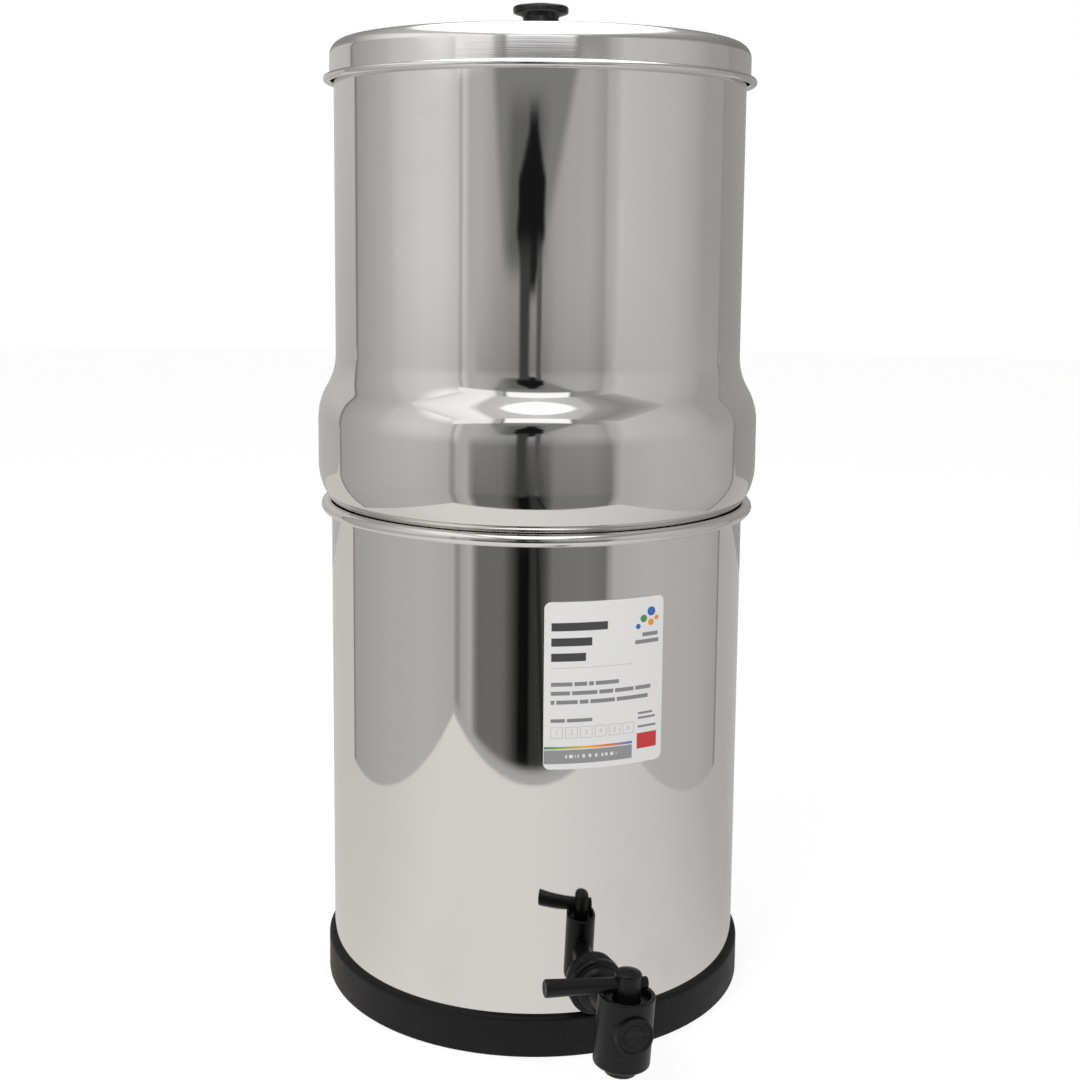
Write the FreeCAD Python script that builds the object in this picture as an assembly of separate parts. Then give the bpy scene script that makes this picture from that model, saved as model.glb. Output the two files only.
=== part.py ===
"""Gravity water filter: two stacked steel chambers, candles inside, and a lever tap below.

Millimetres. Z points up from the surface that the filter stands on, X points right, and the
tap points to -Y. The chambers are turned about the Z axis, so the origin lies on that axis.
"""
import FreeCAD, Part
import os
from math import atan2, cos, degrees, radians, sin, sqrt
from FreeCAD import Vector

# Fits and gaps
trim_fit = 0.05          # between parts that are pressed or stuck together
running_fit = 0.05       # on the radius, where one part turns in another
seat_gap = 0.3           # between curved parts that only rest on each other
bolt_clearance = 0.25    # on the radius, where a stem goes through a hole in steel

# Steel sheet
steel_wall = 0.8
lid_wall = 0.6

# Base ring of black rubber, with a lip that goes under the lower chamber
ring_height = 19.0
ring_wall = 2.75
ring_lip_thickness = 4.0
ring_lip_width = 9.0
ring_edge_radius = 1.6
ring_foot_radius = 1.0

# Lower chamber
lower_radius = 101.5
lower_depth = 235.2      # from the underside of its floor to the middle of its rim bead
lower_corner_radius = 7.0
rim_bead_radius = 2.9
bead_open_angle = 50.0   # what a bead leaves open on the side where it turns back to the wall

# Upper chamber
upper_step = 2.4         # how much smaller it is than the lower chamber, on the radius
bulge_overhang = 6.25    # how much its bulge stands out past the lower chamber
shoulder_radius = 48.0
shoulder_turn = 34.0
floor_corner_radius = 20.0
bulge_band_height = 15.7
flare_height = 31.5
upper_cylinder_height = 144.4
hem_radius = 1.5
hem_open_angle = 130.0

# Lid
lid_skirt_gap = 1.4      # between the lid's skirt and the upper chamber
lid_corner_radius = 7.0
lid_crown = 3.0
lid_skirt_depth = 10.9
lid_bead_radius = 1.8

# Lid knob, its screw and its washer
knob_radius = 13.35
knob_neck_radius = 8.5
knob_plateau_radius = 6.25
knob_height = 17.6
knob_neck_height = 7.6
knob_cone_height = 4.2
knob_rim_height = 3.6
knob_edge_radius = 1.3
knob_socket_depth = 11.0
knob_screw_radius = 2.0
knob_screw_reach = 9.0
knob_screw_head_radius = 4.0
knob_screw_head_height = 2.4
knob_screw_slot_width = 0.9
knob_screw_slot_depth = 1.1
knob_washer_radius = 6.5
knob_washer_thickness = 1.0

# Label on the front of the lower chamber
label_width = 57.4
label_height = 76.3
label_base = 131.1       # above the underside of the lower chamber's floor
label_thickness = 0.25
label_glue_thickness = 0.2
label_corner_radius = 3.0
label_angle = 2.2        # to the right of the tap

# Tap body: a threaded tail, a flange, a hub, a neck and an upright barrel
tap_turn = 4.0           # the tap as fitted leans this much about its own stem
tap_ring_gap = 1.0       # between the base ring and the flange above it
tap_tail_radius = 8.0
tap_tail_bore_radius = 4.0
tap_tail_spare = 3.0     # thread that shows past the nut
tap_flange_radius = 13.0
tap_flange_thickness = 3.0
tap_flange_edge_radius = 1.0
tap_hub_radius = 10.7
tap_hub_step = 1.0
tap_neck_radius = 7.0
tap_neck_length = 24.0   # from the flange to the side of the barrel
barrel_radius = 12.5
barrel_top = 15.5        # heights in the barrel are taken from the stem's centre line
barrel_bottom = -14.6
barrel_edge_radius = 1.2
barrel_floor_thickness = 3.0
boss_radius = 8.4
boss_height = 1.6
boss_rise = 2.3          # above the stem's centre line
boss_rim_width = 1.2
boss_recess = 0.5
spout_radius = 6.0
spout_length = 5.5
spout_edge_radius = 0.6
spout_bore_radius = 3.5

# Tap plug, which turns in the barrel, with its seal, its retaining ring and its lever
plug_radius = 9.0
plug_port_radius = 3.5
plug_core_top = 10.4
plug_end_gap = 0.1
plug_head_radius = 5.9
plug_head_edge_radius = 1.6
plug_head_crown = 1.2
plug_head_above_lever = 6.9
seal_radius = 0.95
seal_height = 6.7
seal_groove_slack = 0.15
retainer_radius = 10.4
retainer_thickness = 2.0
lever_height = 19.7
lever_root_radius = 3.1
lever_tip_radius = 3.85
lever_length = 37.4      # from the plug's centre line to the tip
lever_edge_radius = 0.7
lever_seat_depth = 1.1
lever_spigot_radius = 2.7
lever_spigot_proud = 2.9

# Tap washers and nut
tap_outer_washer_thickness = 2.2
tap_inner_washer_thickness = 2.5
tap_washer_rim = 5.0
tap_nut_across_flats = 26.0
tap_nut_height = 8.0

# Holes for candles and blanking plugs in the floor of the upper chamber
floor_hole_circle_radius = 45.0
candle_angles = (0.0, 180.0)
blanking_angles = (90.0, 270.0)
stem_radius = 6.0

# Candle: a ceramic shell over a carbon core, in a moulded base with a threaded stem
candle_radius = 25.0
candle_height = 178.0
candle_shell_wall = 9.0
candle_core_gap = 0.2
candle_core_top_gap = 4.0
candle_cup_wall = 1.8
candle_cup_height = 14.0
candle_cup_floor = 4.0
candle_cup_edge_radius = 0.8
candle_stem_length = 26.0
candle_stem_bore_radius = 2.5
candle_washer_radius = 14.0
candle_washer_thickness = 3.0

# Wing nut under each candle
wing_nut_radius = 9.5
wing_nut_height = 10.0
wing_radius = 8.0
wing_offset = 13.0
wing_drop = 9.0
wing_thickness = 3.0

# Blanking plug, its washer and its nut
blanking_head_radius = 11.0
blanking_head_height = 5.0
blanking_head_edge_radius = 1.5
blanking_washer_radius = 10.5
blanking_washer_thickness = 2.5
blanking_stem_length = 12.0
blanking_nut_across_flats = 20.0
blanking_nut_height = 8.0

# Places that follow from the sizes above
upper_radius = lower_radius - upper_step
bulge_radius = lower_radius + bulge_overhang
lid_radius = upper_radius + lid_skirt_gap + lid_wall
lower_inner_radius = lower_radius - steel_wall
rim_bead_centre = lower_inner_radius + rim_bead_radius
rim_bead_height = ring_lip_thickness + lower_depth
shoulder_centre = bulge_radius - shoulder_radius
shoulder_reach = shoulder_radius + rim_bead_radius + seat_gap
shoulder_height = rim_bead_height + sqrt(shoulder_reach ** 2 - (rim_bead_centre - shoulder_centre) ** 2)
corner_offset = shoulder_radius - floor_corner_radius
corner_centre = shoulder_centre + corner_offset * cos(radians(shoulder_turn))
corner_height = shoulder_height - corner_offset * sin(radians(shoulder_turn))
upper_floor = corner_height - floor_corner_radius
upper_floor_inside = upper_floor + steel_wall
flare_base = shoulder_height + bulge_band_height
flare_top = flare_base + flare_height
flare_turn = 2 * degrees(atan2(bulge_radius - upper_radius, flare_height))
flare_radius = flare_height / (2 * sin(radians(flare_turn)))
hem_centre = upper_radius - hem_radius
hem_height = flare_top + upper_cylinder_height
lid_corner_centre = lid_radius - lid_corner_radius
lid_seat_reach = lid_corner_radius - lid_wall - hem_radius - seat_gap
lid_corner_height = hem_height - sqrt(lid_seat_reach ** 2 - (hem_centre - lid_corner_centre) ** 2)
crown_radius = (lid_corner_centre ** 2 + lid_crown ** 2) / (2 * lid_crown)
crown_reach = crown_radius - lid_corner_radius
crown_height = lid_corner_height - sqrt(crown_reach ** 2 - lid_corner_centre ** 2)
lid_top = crown_height + crown_radius
lid_bead_centre = lid_radius - lid_wall + lid_bead_radius
lid_bead_height = lid_corner_height - lid_skirt_depth
tap_height = ring_height + tap_ring_gap + tap_flange_radius
tap_flange_seat = lower_radius + tap_outer_washer_thickness
tap_nut_seat = lower_inner_radius - tap_inner_washer_thickness
barrel_axis = tap_flange_seat + tap_flange_thickness + tap_neck_length + barrel_radius
bore_floor = barrel_bottom + barrel_floor_thickness


class Outline:
    """A closed line of straight and round stretches, turned about an upright axis."""

    def __init__(self, radius, height):
        self.first = Vector(radius, 0, height)
        self.last = self.first
        self.edges = []

    def line(self, radius, height):
        """Go straight to a radius and a height."""
        target = Vector(radius, 0, height)
        if target.distanceToPoint(self.last) > 1e-6:
            self.edges.append(Part.LineSegment(self.last, target).toShape())
        self.last = target
        return self

    def arc(self, radius, height, size, start, end):
        """Go straight to an arc and round it. Angles run from outwards, 0, through up, 90."""
        points = []
        for angle in (start, (start + end) / 2, end):
            turn = radians(angle)
            points.append(Vector(radius + size * cos(turn), 0, height + size * sin(turn)))
        self.line(points[0].x, points[0].z)
        self.edges.append(Part.Arc(points[0], points[1], points[2]).toShape())
        self.last = points[2]
        return self

    def turned(self):
        """Close the line and turn it about the Z axis."""
        self.line(self.first.x, self.first.z)
        solid = Part.Face(Part.Wire(self.edges)).revolve(Vector(), Vector(0, 0, 1), 360)
        return solid if solid.Volume > 0 else solid.reversed()


def rod(radius, start, end):
    """A round bar between two points."""
    along = end - start
    return Part.makeCylinder(radius, along.Length, start, along)


def ring(outer, inner, base, top):
    """A flat ring about the Z axis."""
    return (Outline(inner, base).line(outer, base).line(outer, top).line(inner, top)).turned()


def hexagon(across_flats, height):
    """A hexagonal bar that stands on the XY plane."""
    corner = across_flats / 2 / cos(radians(30))
    points = [Vector(corner * cos(radians(60 * i)), corner * sin(radians(60 * i)), 0) for i in range(7)]
    return Part.Face(Part.makePolygon(points)).extrude(Vector(0, 0, height))


def one_solid(shape):
    """The single clean solid in the result of a cut or a fuse."""
    return shape.removeSplitter().Solids[0]


def moved(shape, x=0.0, y=0.0, z=0.0):
    """A copy of a shape, shifted."""
    copy = shape.copy()
    copy.translate(Vector(x, y, z))
    return copy


def base_ring():
    """Rubber band round the foot of the lower chamber, with a lip under its edge."""
    inner = lower_radius + trim_fit
    outer = inner + ring_wall
    corner_r = lower_radius - lower_corner_radius
    corner_z = ring_lip_thickness + lower_corner_radius
    line = Outline(lower_radius - ring_lip_width, 0)
    line.arc(outer - ring_foot_radius, ring_foot_radius, ring_foot_radius, -90, 0)
    line.arc(outer - ring_edge_radius, ring_height - ring_edge_radius, ring_edge_radius, 0, 90)
    line.line(inner, ring_height)
    line.arc(corner_r, corner_z, lower_corner_radius + trim_fit, 0, -90)
    line.line(lower_radius - ring_lip_width, ring_lip_thickness - trim_fit)
    return line.turned()


def lower_chamber():
    """Steel vessel for the filtered water, with a rolled rim and the hole for the tap."""
    corner_r = lower_radius - lower_corner_radius
    corner_z = ring_lip_thickness + lower_corner_radius
    curl_end = bead_open_angle - 180
    line = Outline(0, ring_lip_thickness)
    line.arc(corner_r, corner_z, lower_corner_radius, -90, 0)
    line.arc(rim_bead_centre, rim_bead_height, rim_bead_radius - steel_wall, 180, curl_end)
    line.arc(rim_bead_centre, rim_bead_height, rim_bead_radius, curl_end, 180)
    line.arc(corner_r, corner_z, lower_corner_radius - steel_wall, 0, -90)
    line.line(0, ring_lip_thickness + steel_wall)
    tap_hole = rod(tap_tail_radius + bolt_clearance, Vector(0, -tap_nut_seat, tap_height),
                   Vector(0, -tap_flange_seat, tap_height))
    return one_solid(line.turned().cut(tap_hole))


def upper_chamber():
    """Steel vessel for the raw water: it bulges over the rim that it stands on."""
    curl_end = 360 - hem_open_angle
    line = Outline(0, upper_floor)
    line.arc(corner_centre, corner_height, floor_corner_radius, -90, -shoulder_turn)
    line.arc(shoulder_centre, shoulder_height, shoulder_radius, -shoulder_turn, 0)
    line.arc(bulge_radius - flare_radius, flare_base, flare_radius, 0, flare_turn)
    line.arc(upper_radius + flare_radius, flare_top, flare_radius, 180 + flare_turn, 180)
    line.arc(hem_centre, hem_height, hem_radius, 0, curl_end)
    line.arc(hem_centre, hem_height, hem_radius - steel_wall, curl_end, 0)
    line.arc(upper_radius + flare_radius, flare_top, flare_radius + steel_wall, 180, 180 + flare_turn)
    line.arc(bulge_radius - flare_radius, flare_base, flare_radius - steel_wall, flare_turn, 0)
    line.arc(shoulder_centre, shoulder_height, shoulder_radius - steel_wall, 0, -shoulder_turn)
    line.arc(corner_centre, corner_height, floor_corner_radius - steel_wall, -shoulder_turn, -90)
    line.line(0, upper_floor_inside)
    chamber = line.turned()
    for angle in candle_angles + blanking_angles:
        hole = rod(stem_radius + bolt_clearance, Vector(0, 0, upper_floor - steel_wall),
                   Vector(0, 0, upper_floor_inside + steel_wall))
        chamber = chamber.cut(on_floor(hole, angle))
    return one_solid(chamber)


def lid():
    """Pressed steel lid, slightly crowned, with a rolled edge that turns outwards."""
    tangent = degrees(atan2(lid_corner_height - crown_height, lid_corner_centre))
    curl_end = 540 - bead_open_angle
    line = Outline(0, lid_top)
    line.arc(0, crown_height, crown_radius, 90, tangent)
    line.arc(lid_corner_centre, lid_corner_height, lid_corner_radius, tangent, 0)
    line.arc(lid_bead_centre, lid_bead_height, lid_bead_radius - lid_wall, 180, curl_end)
    line.arc(lid_bead_centre, lid_bead_height, lid_bead_radius, curl_end, 180)
    line.arc(lid_corner_centre, lid_corner_height, lid_corner_radius - lid_wall, 0, tangent)
    line.arc(0, crown_height, crown_radius - lid_wall, tangent, 90)
    hole = rod(knob_screw_radius + bolt_clearance, Vector(0, 0, lid_top - 2 * lid_wall),
               Vector(0, 0, lid_top + lid_wall))
    return one_solid(line.turned().cut(hole))


def lid_knob():
    """Moulded knob with a waist, and a socket for the screw that comes up through the lid."""
    cone_top = lid_top + knob_neck_height + knob_cone_height
    rim_top = cone_top + knob_rim_height
    socket = knob_screw_radius + trim_fit
    line = Outline(socket, lid_top)
    line.line(knob_neck_radius, lid_top)
    line.line(knob_neck_radius, lid_top + knob_neck_height)
    line.arc(knob_radius - knob_edge_radius, cone_top, knob_edge_radius, -45, 0)
    line.arc(knob_radius - knob_edge_radius, rim_top - knob_edge_radius, knob_edge_radius, 0, 80)
    line.line(knob_plateau_radius, lid_top + knob_height)
    line.line(0, lid_top + knob_height)
    line.line(0, lid_top + knob_socket_depth)
    line.line(socket, lid_top + knob_socket_depth)
    return line.turned()


def knob_washer():
    """Washer between the lid and the head of the knob's screw."""
    top = lid_top - lid_wall - trim_fit
    return ring(knob_washer_radius, knob_screw_radius + bolt_clearance, top - knob_washer_thickness, top)


def knob_screw():
    """Slotted screw that holds the knob from inside the lid."""
    seat = lid_top - lid_wall - 2 * trim_fit - knob_washer_thickness
    base = seat - knob_screw_head_height
    line = Outline(0, base)
    line.line(knob_screw_head_radius, base + knob_screw_head_height / 2)
    line.line(knob_screw_head_radius, seat)
    line.line(knob_screw_radius, seat)
    line.line(knob_screw_radius, lid_top + knob_screw_reach)
    line.line(0, lid_top + knob_screw_reach)
    slot = Part.makeBox(2 * knob_screw_head_radius, knob_screw_slot_width, knob_screw_slot_depth,
                        Vector(-knob_screw_head_radius, -knob_screw_slot_width / 2, base))
    return one_solid(line.turned().cut(slot))


def front_label():
    """Thin label with round corners, bent round the lower chamber."""
    inner = lower_radius + label_glue_thickness
    base = ring_lip_thickness + label_base
    band = ring(inner + label_thickness, inner, base, base + label_height)
    blank = Part.makeBox(label_width, 2 * inner, label_height, Vector(-label_width / 2, -2 * inner, base))
    corners = [edge for edge in blank.Edges
               if abs(edge.Vertexes[0].Y - edge.Vertexes[-1].Y) > inner]
    label = one_solid(band.common(blank.makeFillet(label_corner_radius, corners)))
    label.rotate(Vector(), Vector(0, 0, 1), label_angle)
    return label


def along_stem(shape):
    """Lay a shape that was turned about Z along the tap's stem, with +Z pointing outwards."""
    copy = shape.copy()
    copy.rotate(Vector(), Vector(1, 0, 0), 90)
    return copy


def fitted(shape):
    """Take a piece of the tap from its own frame to its place on the chamber."""
    copy = shape.copy()
    copy.rotate(Vector(), Vector(0, 1, 0), tap_turn)
    return moved(copy, z=tap_height)


def at_barrel(shape):
    """Take a piece that was turned about Z to the barrel's axis, in the tap's own frame."""
    return moved(shape, y=-barrel_axis)


def tap_body():
    """Moulded tap body: tail, flange, hub, neck and barrel, bored for the water and the plug."""
    tail_end = tap_nut_seat - tap_nut_height - tap_tail_spare
    flange_face = tap_flange_seat + tap_flange_thickness
    hub_top = flange_face + tap_hub_step
    dome = tap_hub_radius - tap_neck_radius
    stem = Outline(0, tail_end)
    stem.line(tap_tail_radius, tail_end)
    stem.line(tap_tail_radius, tap_flange_seat)
    stem.line(tap_flange_radius, tap_flange_seat)
    stem.arc(tap_flange_radius - tap_flange_edge_radius, flange_face - tap_flange_edge_radius,
             tap_flange_edge_radius, 0, 90)
    stem.line(tap_hub_radius, flange_face)
    stem.arc(tap_neck_radius, hub_top, dome, 0, 90)
    stem.line(tap_neck_radius, barrel_axis)
    stem.line(0, barrel_axis)

    barrel = Outline(0, barrel_bottom - spout_length)
    barrel.arc(spout_radius - spout_edge_radius, barrel_bottom - spout_length + spout_edge_radius,
               spout_edge_radius, -90, 0)
    barrel.line(spout_radius, barrel_bottom)
    barrel.arc(barrel_radius - barrel_edge_radius, barrel_bottom + barrel_edge_radius,
               barrel_edge_radius, -90, 0)
    barrel.arc(barrel_radius - barrel_edge_radius / 2, barrel_top - barrel_edge_radius / 2,
               barrel_edge_radius / 2, 0, 90)
    barrel.line(0, barrel_top)

    boss_face = barrel_axis + barrel_radius + boss_height
    boss = Outline(0, barrel_axis).line(boss_radius, barrel_axis).line(boss_radius, boss_face)
    boss.line(boss_radius - boss_rim_width, boss_face)
    boss.line(boss_radius - boss_rim_width, boss_face - boss_recess)
    boss.line(0, boss_face - boss_recess)

    bore = Outline(0, bore_floor).line(plug_radius, bore_floor)
    bore.line(plug_radius, plug_core_top + plug_end_gap)
    bore.line(retainer_radius, plug_core_top + plug_end_gap)
    bore.line(retainer_radius, 2 * barrel_top).line(0, 2 * barrel_top)

    outlet = rod(spout_bore_radius, Vector(0, 0, 2 * barrel_bottom), Vector())
    inlet = rod(tap_tail_bore_radius, Vector(), Vector(0, 0, barrel_axis))

    badge = moved(along_stem(boss.turned()), z=boss_rise)
    body = along_stem(stem.turned()).fuse([at_barrel(barrel.turned()), badge])
    body = body.cut([at_barrel(bore.turned()), at_barrel(outlet), along_stem(inlet)])
    return fitted(one_solid(body))


def tap_plug():
    """Plug that turns in the barrel: its elbow lets water through after a quarter turn."""
    core = plug_radius - running_fit
    base = bore_floor + plug_end_gap
    groove_floor = plug_radius - 2 * seal_radius - running_fit
    groove_half = seal_radius + seal_groove_slack
    head_top = lever_height + plug_head_above_lever
    line = Outline(0, base).line(core, base)
    line.line(core, seal_height - groove_half).line(groove_floor, seal_height - groove_half)
    line.line(groove_floor, seal_height + groove_half).line(core, seal_height + groove_half)
    line.line(core, plug_core_top).line(plug_head_radius, plug_core_top)
    line.arc(plug_head_radius - plug_head_edge_radius, head_top - plug_head_crown - plug_head_edge_radius,
             plug_head_edge_radius, 0, 60)
    line.line(0, head_top)
    plug = line.turned()
    port = rod(plug_port_radius, Vector(), Vector(plug_radius, 0, 0))
    drop = rod(plug_port_radius, Vector(0, 0, 2 * base), Vector())
    elbow = Part.makeSphere(plug_port_radius)
    seat = rod(lever_root_radius + trim_fit, Vector(-plug_radius, 0, lever_height),
               Vector(lever_seat_depth - plug_head_radius, 0, lever_height))
    cross_hole = rod(lever_spigot_radius + trim_fit, Vector(-plug_radius, 0, lever_height),
                     Vector(plug_radius, 0, lever_height))
    return fitted(at_barrel(one_solid(plug.cut([port, drop, elbow, seat, cross_hole]))))


def tap_lever():
    """Tapered lever with a spigot that is pressed right through the plug's head."""
    root = plug_head_radius - lever_seat_depth
    line = Outline(0, -plug_head_radius - lever_spigot_proud)
    line.line(lever_spigot_radius, -plug_head_radius - lever_spigot_proud)
    line.line(lever_spigot_radius, root)
    line.line(lever_root_radius, root)
    line.arc(lever_tip_radius - lever_edge_radius, lever_length - lever_edge_radius,
             lever_edge_radius, 0, 90)
    line.line(0, lever_length)
    lever = line.turned()
    lever.rotate(Vector(), Vector(0, 1, 0), -90)
    return fitted(at_barrel(moved(lever, z=lever_height)))


def plug_seal():
    """Rubber ring in the plug's groove."""
    size = plug_radius - running_fit / 2 - seal_radius
    return fitted(at_barrel(Part.makeTorus(size, seal_radius, Vector(0, 0, seal_height))))


def plug_retainer():
    """Ring in the top of the barrel that keeps the plug down."""
    base = plug_core_top + plug_end_gap
    retainer = ring(retainer_radius - trim_fit / 2, plug_head_radius + running_fit,
                    base, base + retainer_thickness)
    return fitted(at_barrel(retainer))


def tap_outer_washer():
    """Rubber washer outside, flat on the flange and bent to the chamber."""
    washer = ring(tap_flange_radius, tap_tail_radius + trim_fit, 0, tap_flange_seat)
    chamber = rod(lower_radius, Vector(0, 0, 0), Vector(0, 0, 2 * tap_height))
    return one_solid(moved(along_stem(washer), z=tap_height).cut(chamber))


def tap_inner_washer():
    """Rubber washer inside, flat on the nut and bent to the chamber."""
    washer = ring(tap_tail_radius + tap_washer_rim, tap_tail_radius + trim_fit, tap_nut_seat, lower_radius)
    chamber = rod(lower_inner_radius, Vector(0, 0, 0), Vector(0, 0, 2 * tap_height))
    return one_solid(moved(along_stem(washer), z=tap_height).common(chamber))


def tap_nut():
    """Nut that draws the flange against the chamber from inside."""
    nut = moved(hexagon(tap_nut_across_flats, tap_nut_height), z=tap_nut_seat - tap_nut_height)
    bore = rod(tap_tail_radius + trim_fit, Vector(), Vector(0, 0, tap_nut_seat))
    return fitted(along_stem(one_solid(nut.cut(bore))))


def on_floor(shape, angle):
    """Take a piece from the Z axis to one of the holes in the upper chamber's floor."""
    copy = moved(shape, x=floor_hole_circle_radius)
    copy.rotate(Vector(), Vector(0, 0, 1), angle)
    return copy


def candle_base():
    """Moulded cup that carries the candle, with the bored and threaded stem below it."""
    base = upper_floor_inside + candle_washer_thickness
    inner = candle_radius + trim_fit
    outer = inner + candle_cup_wall
    stem_end = upper_floor - candle_stem_length
    line = Outline(candle_stem_bore_radius, stem_end)
    line.line(stem_radius, stem_end).line(stem_radius, base)
    line.arc(outer - candle_cup_edge_radius, base + candle_cup_edge_radius, candle_cup_edge_radius, -90, 0)
    line.line(outer, base + candle_cup_height).line(inner, base + candle_cup_height)
    line.line(inner, base + candle_cup_floor).line(candle_stem_bore_radius, base + candle_cup_floor)
    return line.turned()


def candle_shell():
    """Ceramic candle with a domed top, open below."""
    base = upper_floor_inside + candle_washer_thickness + candle_cup_floor
    inner = candle_radius - candle_shell_wall
    dome = base + candle_height - candle_radius
    line = Outline(inner, base).line(candle_radius, base)
    line.arc(0, dome, candle_radius, 0, 90)
    line.arc(0, dome, inner, 90, 0)
    return line.turned()


def candle_core():
    """Block of activated carbon inside the ceramic."""
    base = upper_floor_inside + candle_washer_thickness + candle_cup_floor
    radius = candle_radius - candle_shell_wall - candle_core_gap
    top = base + candle_height - candle_radius - candle_core_top_gap
    line = Outline(0, base).line(radius, base)
    line.arc(0, top, radius, 0, 90)
    return line.turned()


def candle_washer():
    """Rubber washer between the candle's base and the floor."""
    return ring(candle_washer_radius, stem_radius + trim_fit, upper_floor_inside,
                upper_floor_inside + candle_washer_thickness)


def wing_nut():
    """Moulded nut with two round wings, under the floor."""
    hub = rod(wing_nut_radius, Vector(0, 0, upper_floor - wing_nut_height), Vector(0, 0, upper_floor))
    wings = []
    for side in (-1, 1):
        middle = Vector(side * wing_offset, 0, upper_floor - wing_drop)
        half = Vector(0, wing_thickness / 2, 0)
        wings.append(rod(wing_radius, middle - half, middle + half))
    bore = rod(stem_radius + trim_fit, Vector(0, 0, upper_floor - 3 * wing_nut_height),
               Vector(0, 0, upper_floor + steel_wall))
    return one_solid(hub.fuse(wings).cut(bore))


def blanking_plug():
    """Plug that closes a hole that has no candle."""
    base = upper_floor_inside + blanking_washer_thickness
    top = base + blanking_head_height
    line = Outline(0, upper_floor - blanking_stem_length)
    line.line(stem_radius, upper_floor - blanking_stem_length).line(stem_radius, base)
    line.line(blanking_head_radius, base)
    line.arc(blanking_head_radius - blanking_head_edge_radius, top - blanking_head_edge_radius,
             blanking_head_edge_radius, 0, 90)
    line.line(0, top)
    return line.turned()


def blanking_washer():
    """Rubber washer under the head of a blanking plug."""
    return ring(blanking_washer_radius, stem_radius + trim_fit, upper_floor_inside,
                upper_floor_inside + blanking_washer_thickness)


def blanking_nut():
    """Hexagonal nut under the floor."""
    nut = moved(hexagon(blanking_nut_across_flats, blanking_nut_height), z=upper_floor - blanking_nut_height)
    bore = rod(stem_radius + trim_fit, Vector(0, 0, upper_floor - 2 * blanking_nut_height),
               Vector(0, 0, upper_floor + steel_wall))
    return one_solid(nut.cut(bore))


def all_pieces():
    """Every piece of the filter, by name, in its place."""
    pieces = {
        "base_ring": base_ring(),
        "lower_chamber": lower_chamber(),
        "front_label": front_label(),
        "tap_body": tap_body(),
        "tap_outer_washer": tap_outer_washer(),
        "tap_inner_washer": tap_inner_washer(),
        "tap_nut": tap_nut(),
        "tap_plug": tap_plug(),
        "tap_lever": tap_lever(),
        "plug_seal": plug_seal(),
        "plug_retainer": plug_retainer(),
        "upper_chamber": upper_chamber(),
        "lid": lid(),
        "lid_knob": lid_knob(),
        "knob_washer": knob_washer(),
        "knob_screw": knob_screw(),
    }
    for number, angle in enumerate(candle_angles, 1):
        pieces[f"candle_{number}_base"] = on_floor(candle_base(), angle)
        pieces[f"candle_{number}_shell"] = on_floor(candle_shell(), angle)
        pieces[f"candle_{number}_core"] = on_floor(candle_core(), angle)
        pieces[f"candle_{number}_washer"] = on_floor(candle_washer(), angle)
        pieces[f"candle_{number}_wing_nut"] = on_floor(wing_nut(), angle)
    for number, angle in enumerate(blanking_angles, 1):
        pieces[f"blanking_{number}_plug"] = on_floor(blanking_plug(), angle)
        pieces[f"blanking_{number}_washer"] = on_floor(blanking_washer(), angle)
        pieces[f"blanking_{number}_nut"] = on_floor(blanking_nut(), angle)
    return pieces


os.makedirs("parts", exist_ok=True)
for name, shape in all_pieces().items():
    shape.exportStep(f"parts/{name}.step")
    box = shape.BoundBox
    print(f"{name:20} valid {shape.isValid()} solids {len(shape.Solids)} volume {shape.Volume / 1000:9.3f} cm3"
          f"  z {box.ZMin:7.2f} to {box.ZMax:7.2f}")
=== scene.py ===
"""Looks of a gravity water filter: steel chambers, label, lever tap, lid and candles over its CAD frame."""
import logging
from dataclasses import dataclass
from enum import Enum
from math import atan2, cos, degrees, pi, radians, sin, sqrt
from typing import Callable, Iterable

import bpy
from mathutils import Matrix, Vector


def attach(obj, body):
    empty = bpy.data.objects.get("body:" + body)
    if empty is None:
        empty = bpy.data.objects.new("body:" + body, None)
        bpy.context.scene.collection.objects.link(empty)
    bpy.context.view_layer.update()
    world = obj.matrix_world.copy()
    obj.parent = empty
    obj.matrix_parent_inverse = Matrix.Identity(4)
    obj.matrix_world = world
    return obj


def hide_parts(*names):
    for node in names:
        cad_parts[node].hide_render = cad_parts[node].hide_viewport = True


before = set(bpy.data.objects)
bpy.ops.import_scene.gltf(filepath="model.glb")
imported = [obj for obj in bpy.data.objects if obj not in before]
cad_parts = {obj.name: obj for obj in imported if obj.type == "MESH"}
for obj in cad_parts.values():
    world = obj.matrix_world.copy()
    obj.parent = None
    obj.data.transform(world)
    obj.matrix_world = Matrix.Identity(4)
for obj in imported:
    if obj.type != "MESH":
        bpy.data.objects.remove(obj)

log = logging.getLogger("water_filter")

MM = 0.001
FIT = 0.05 * MM  # gap between parts that are pressed together or turn in one another
CHAMFER = 0.5 * MM  # on the ends of threaded stems
MIRROR = 0.8  # share of the light that the polished steel gives back
Colour = tuple[float, float, float]
Point = tuple[float, float, float] | Vector
Socket = bpy.types.NodeSocket


class Body(Enum):
    """The bodies of the frame that pieces ride on."""

    BASE = "base"
    TAP_HANDLE = "tap_handle"
    UPPER_VESSEL = "upper_vessel"
    LID = "lid"


class Slot(Enum):
    """The material slots of the part's record."""

    POLISHED_STEEL = "polished_steel"
    PLAIN_STEEL = "plain_steel"
    BLACK_RUBBER = "black_rubber"
    BLACK_PLASTIC = "black_plastic"
    BLACK_KNOB = "black_knob"
    WHITE_PLASTIC = "white_plastic"
    CERAMIC = "ceramic"
    CARBON = "carbon"
    LABEL = "label"


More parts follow.
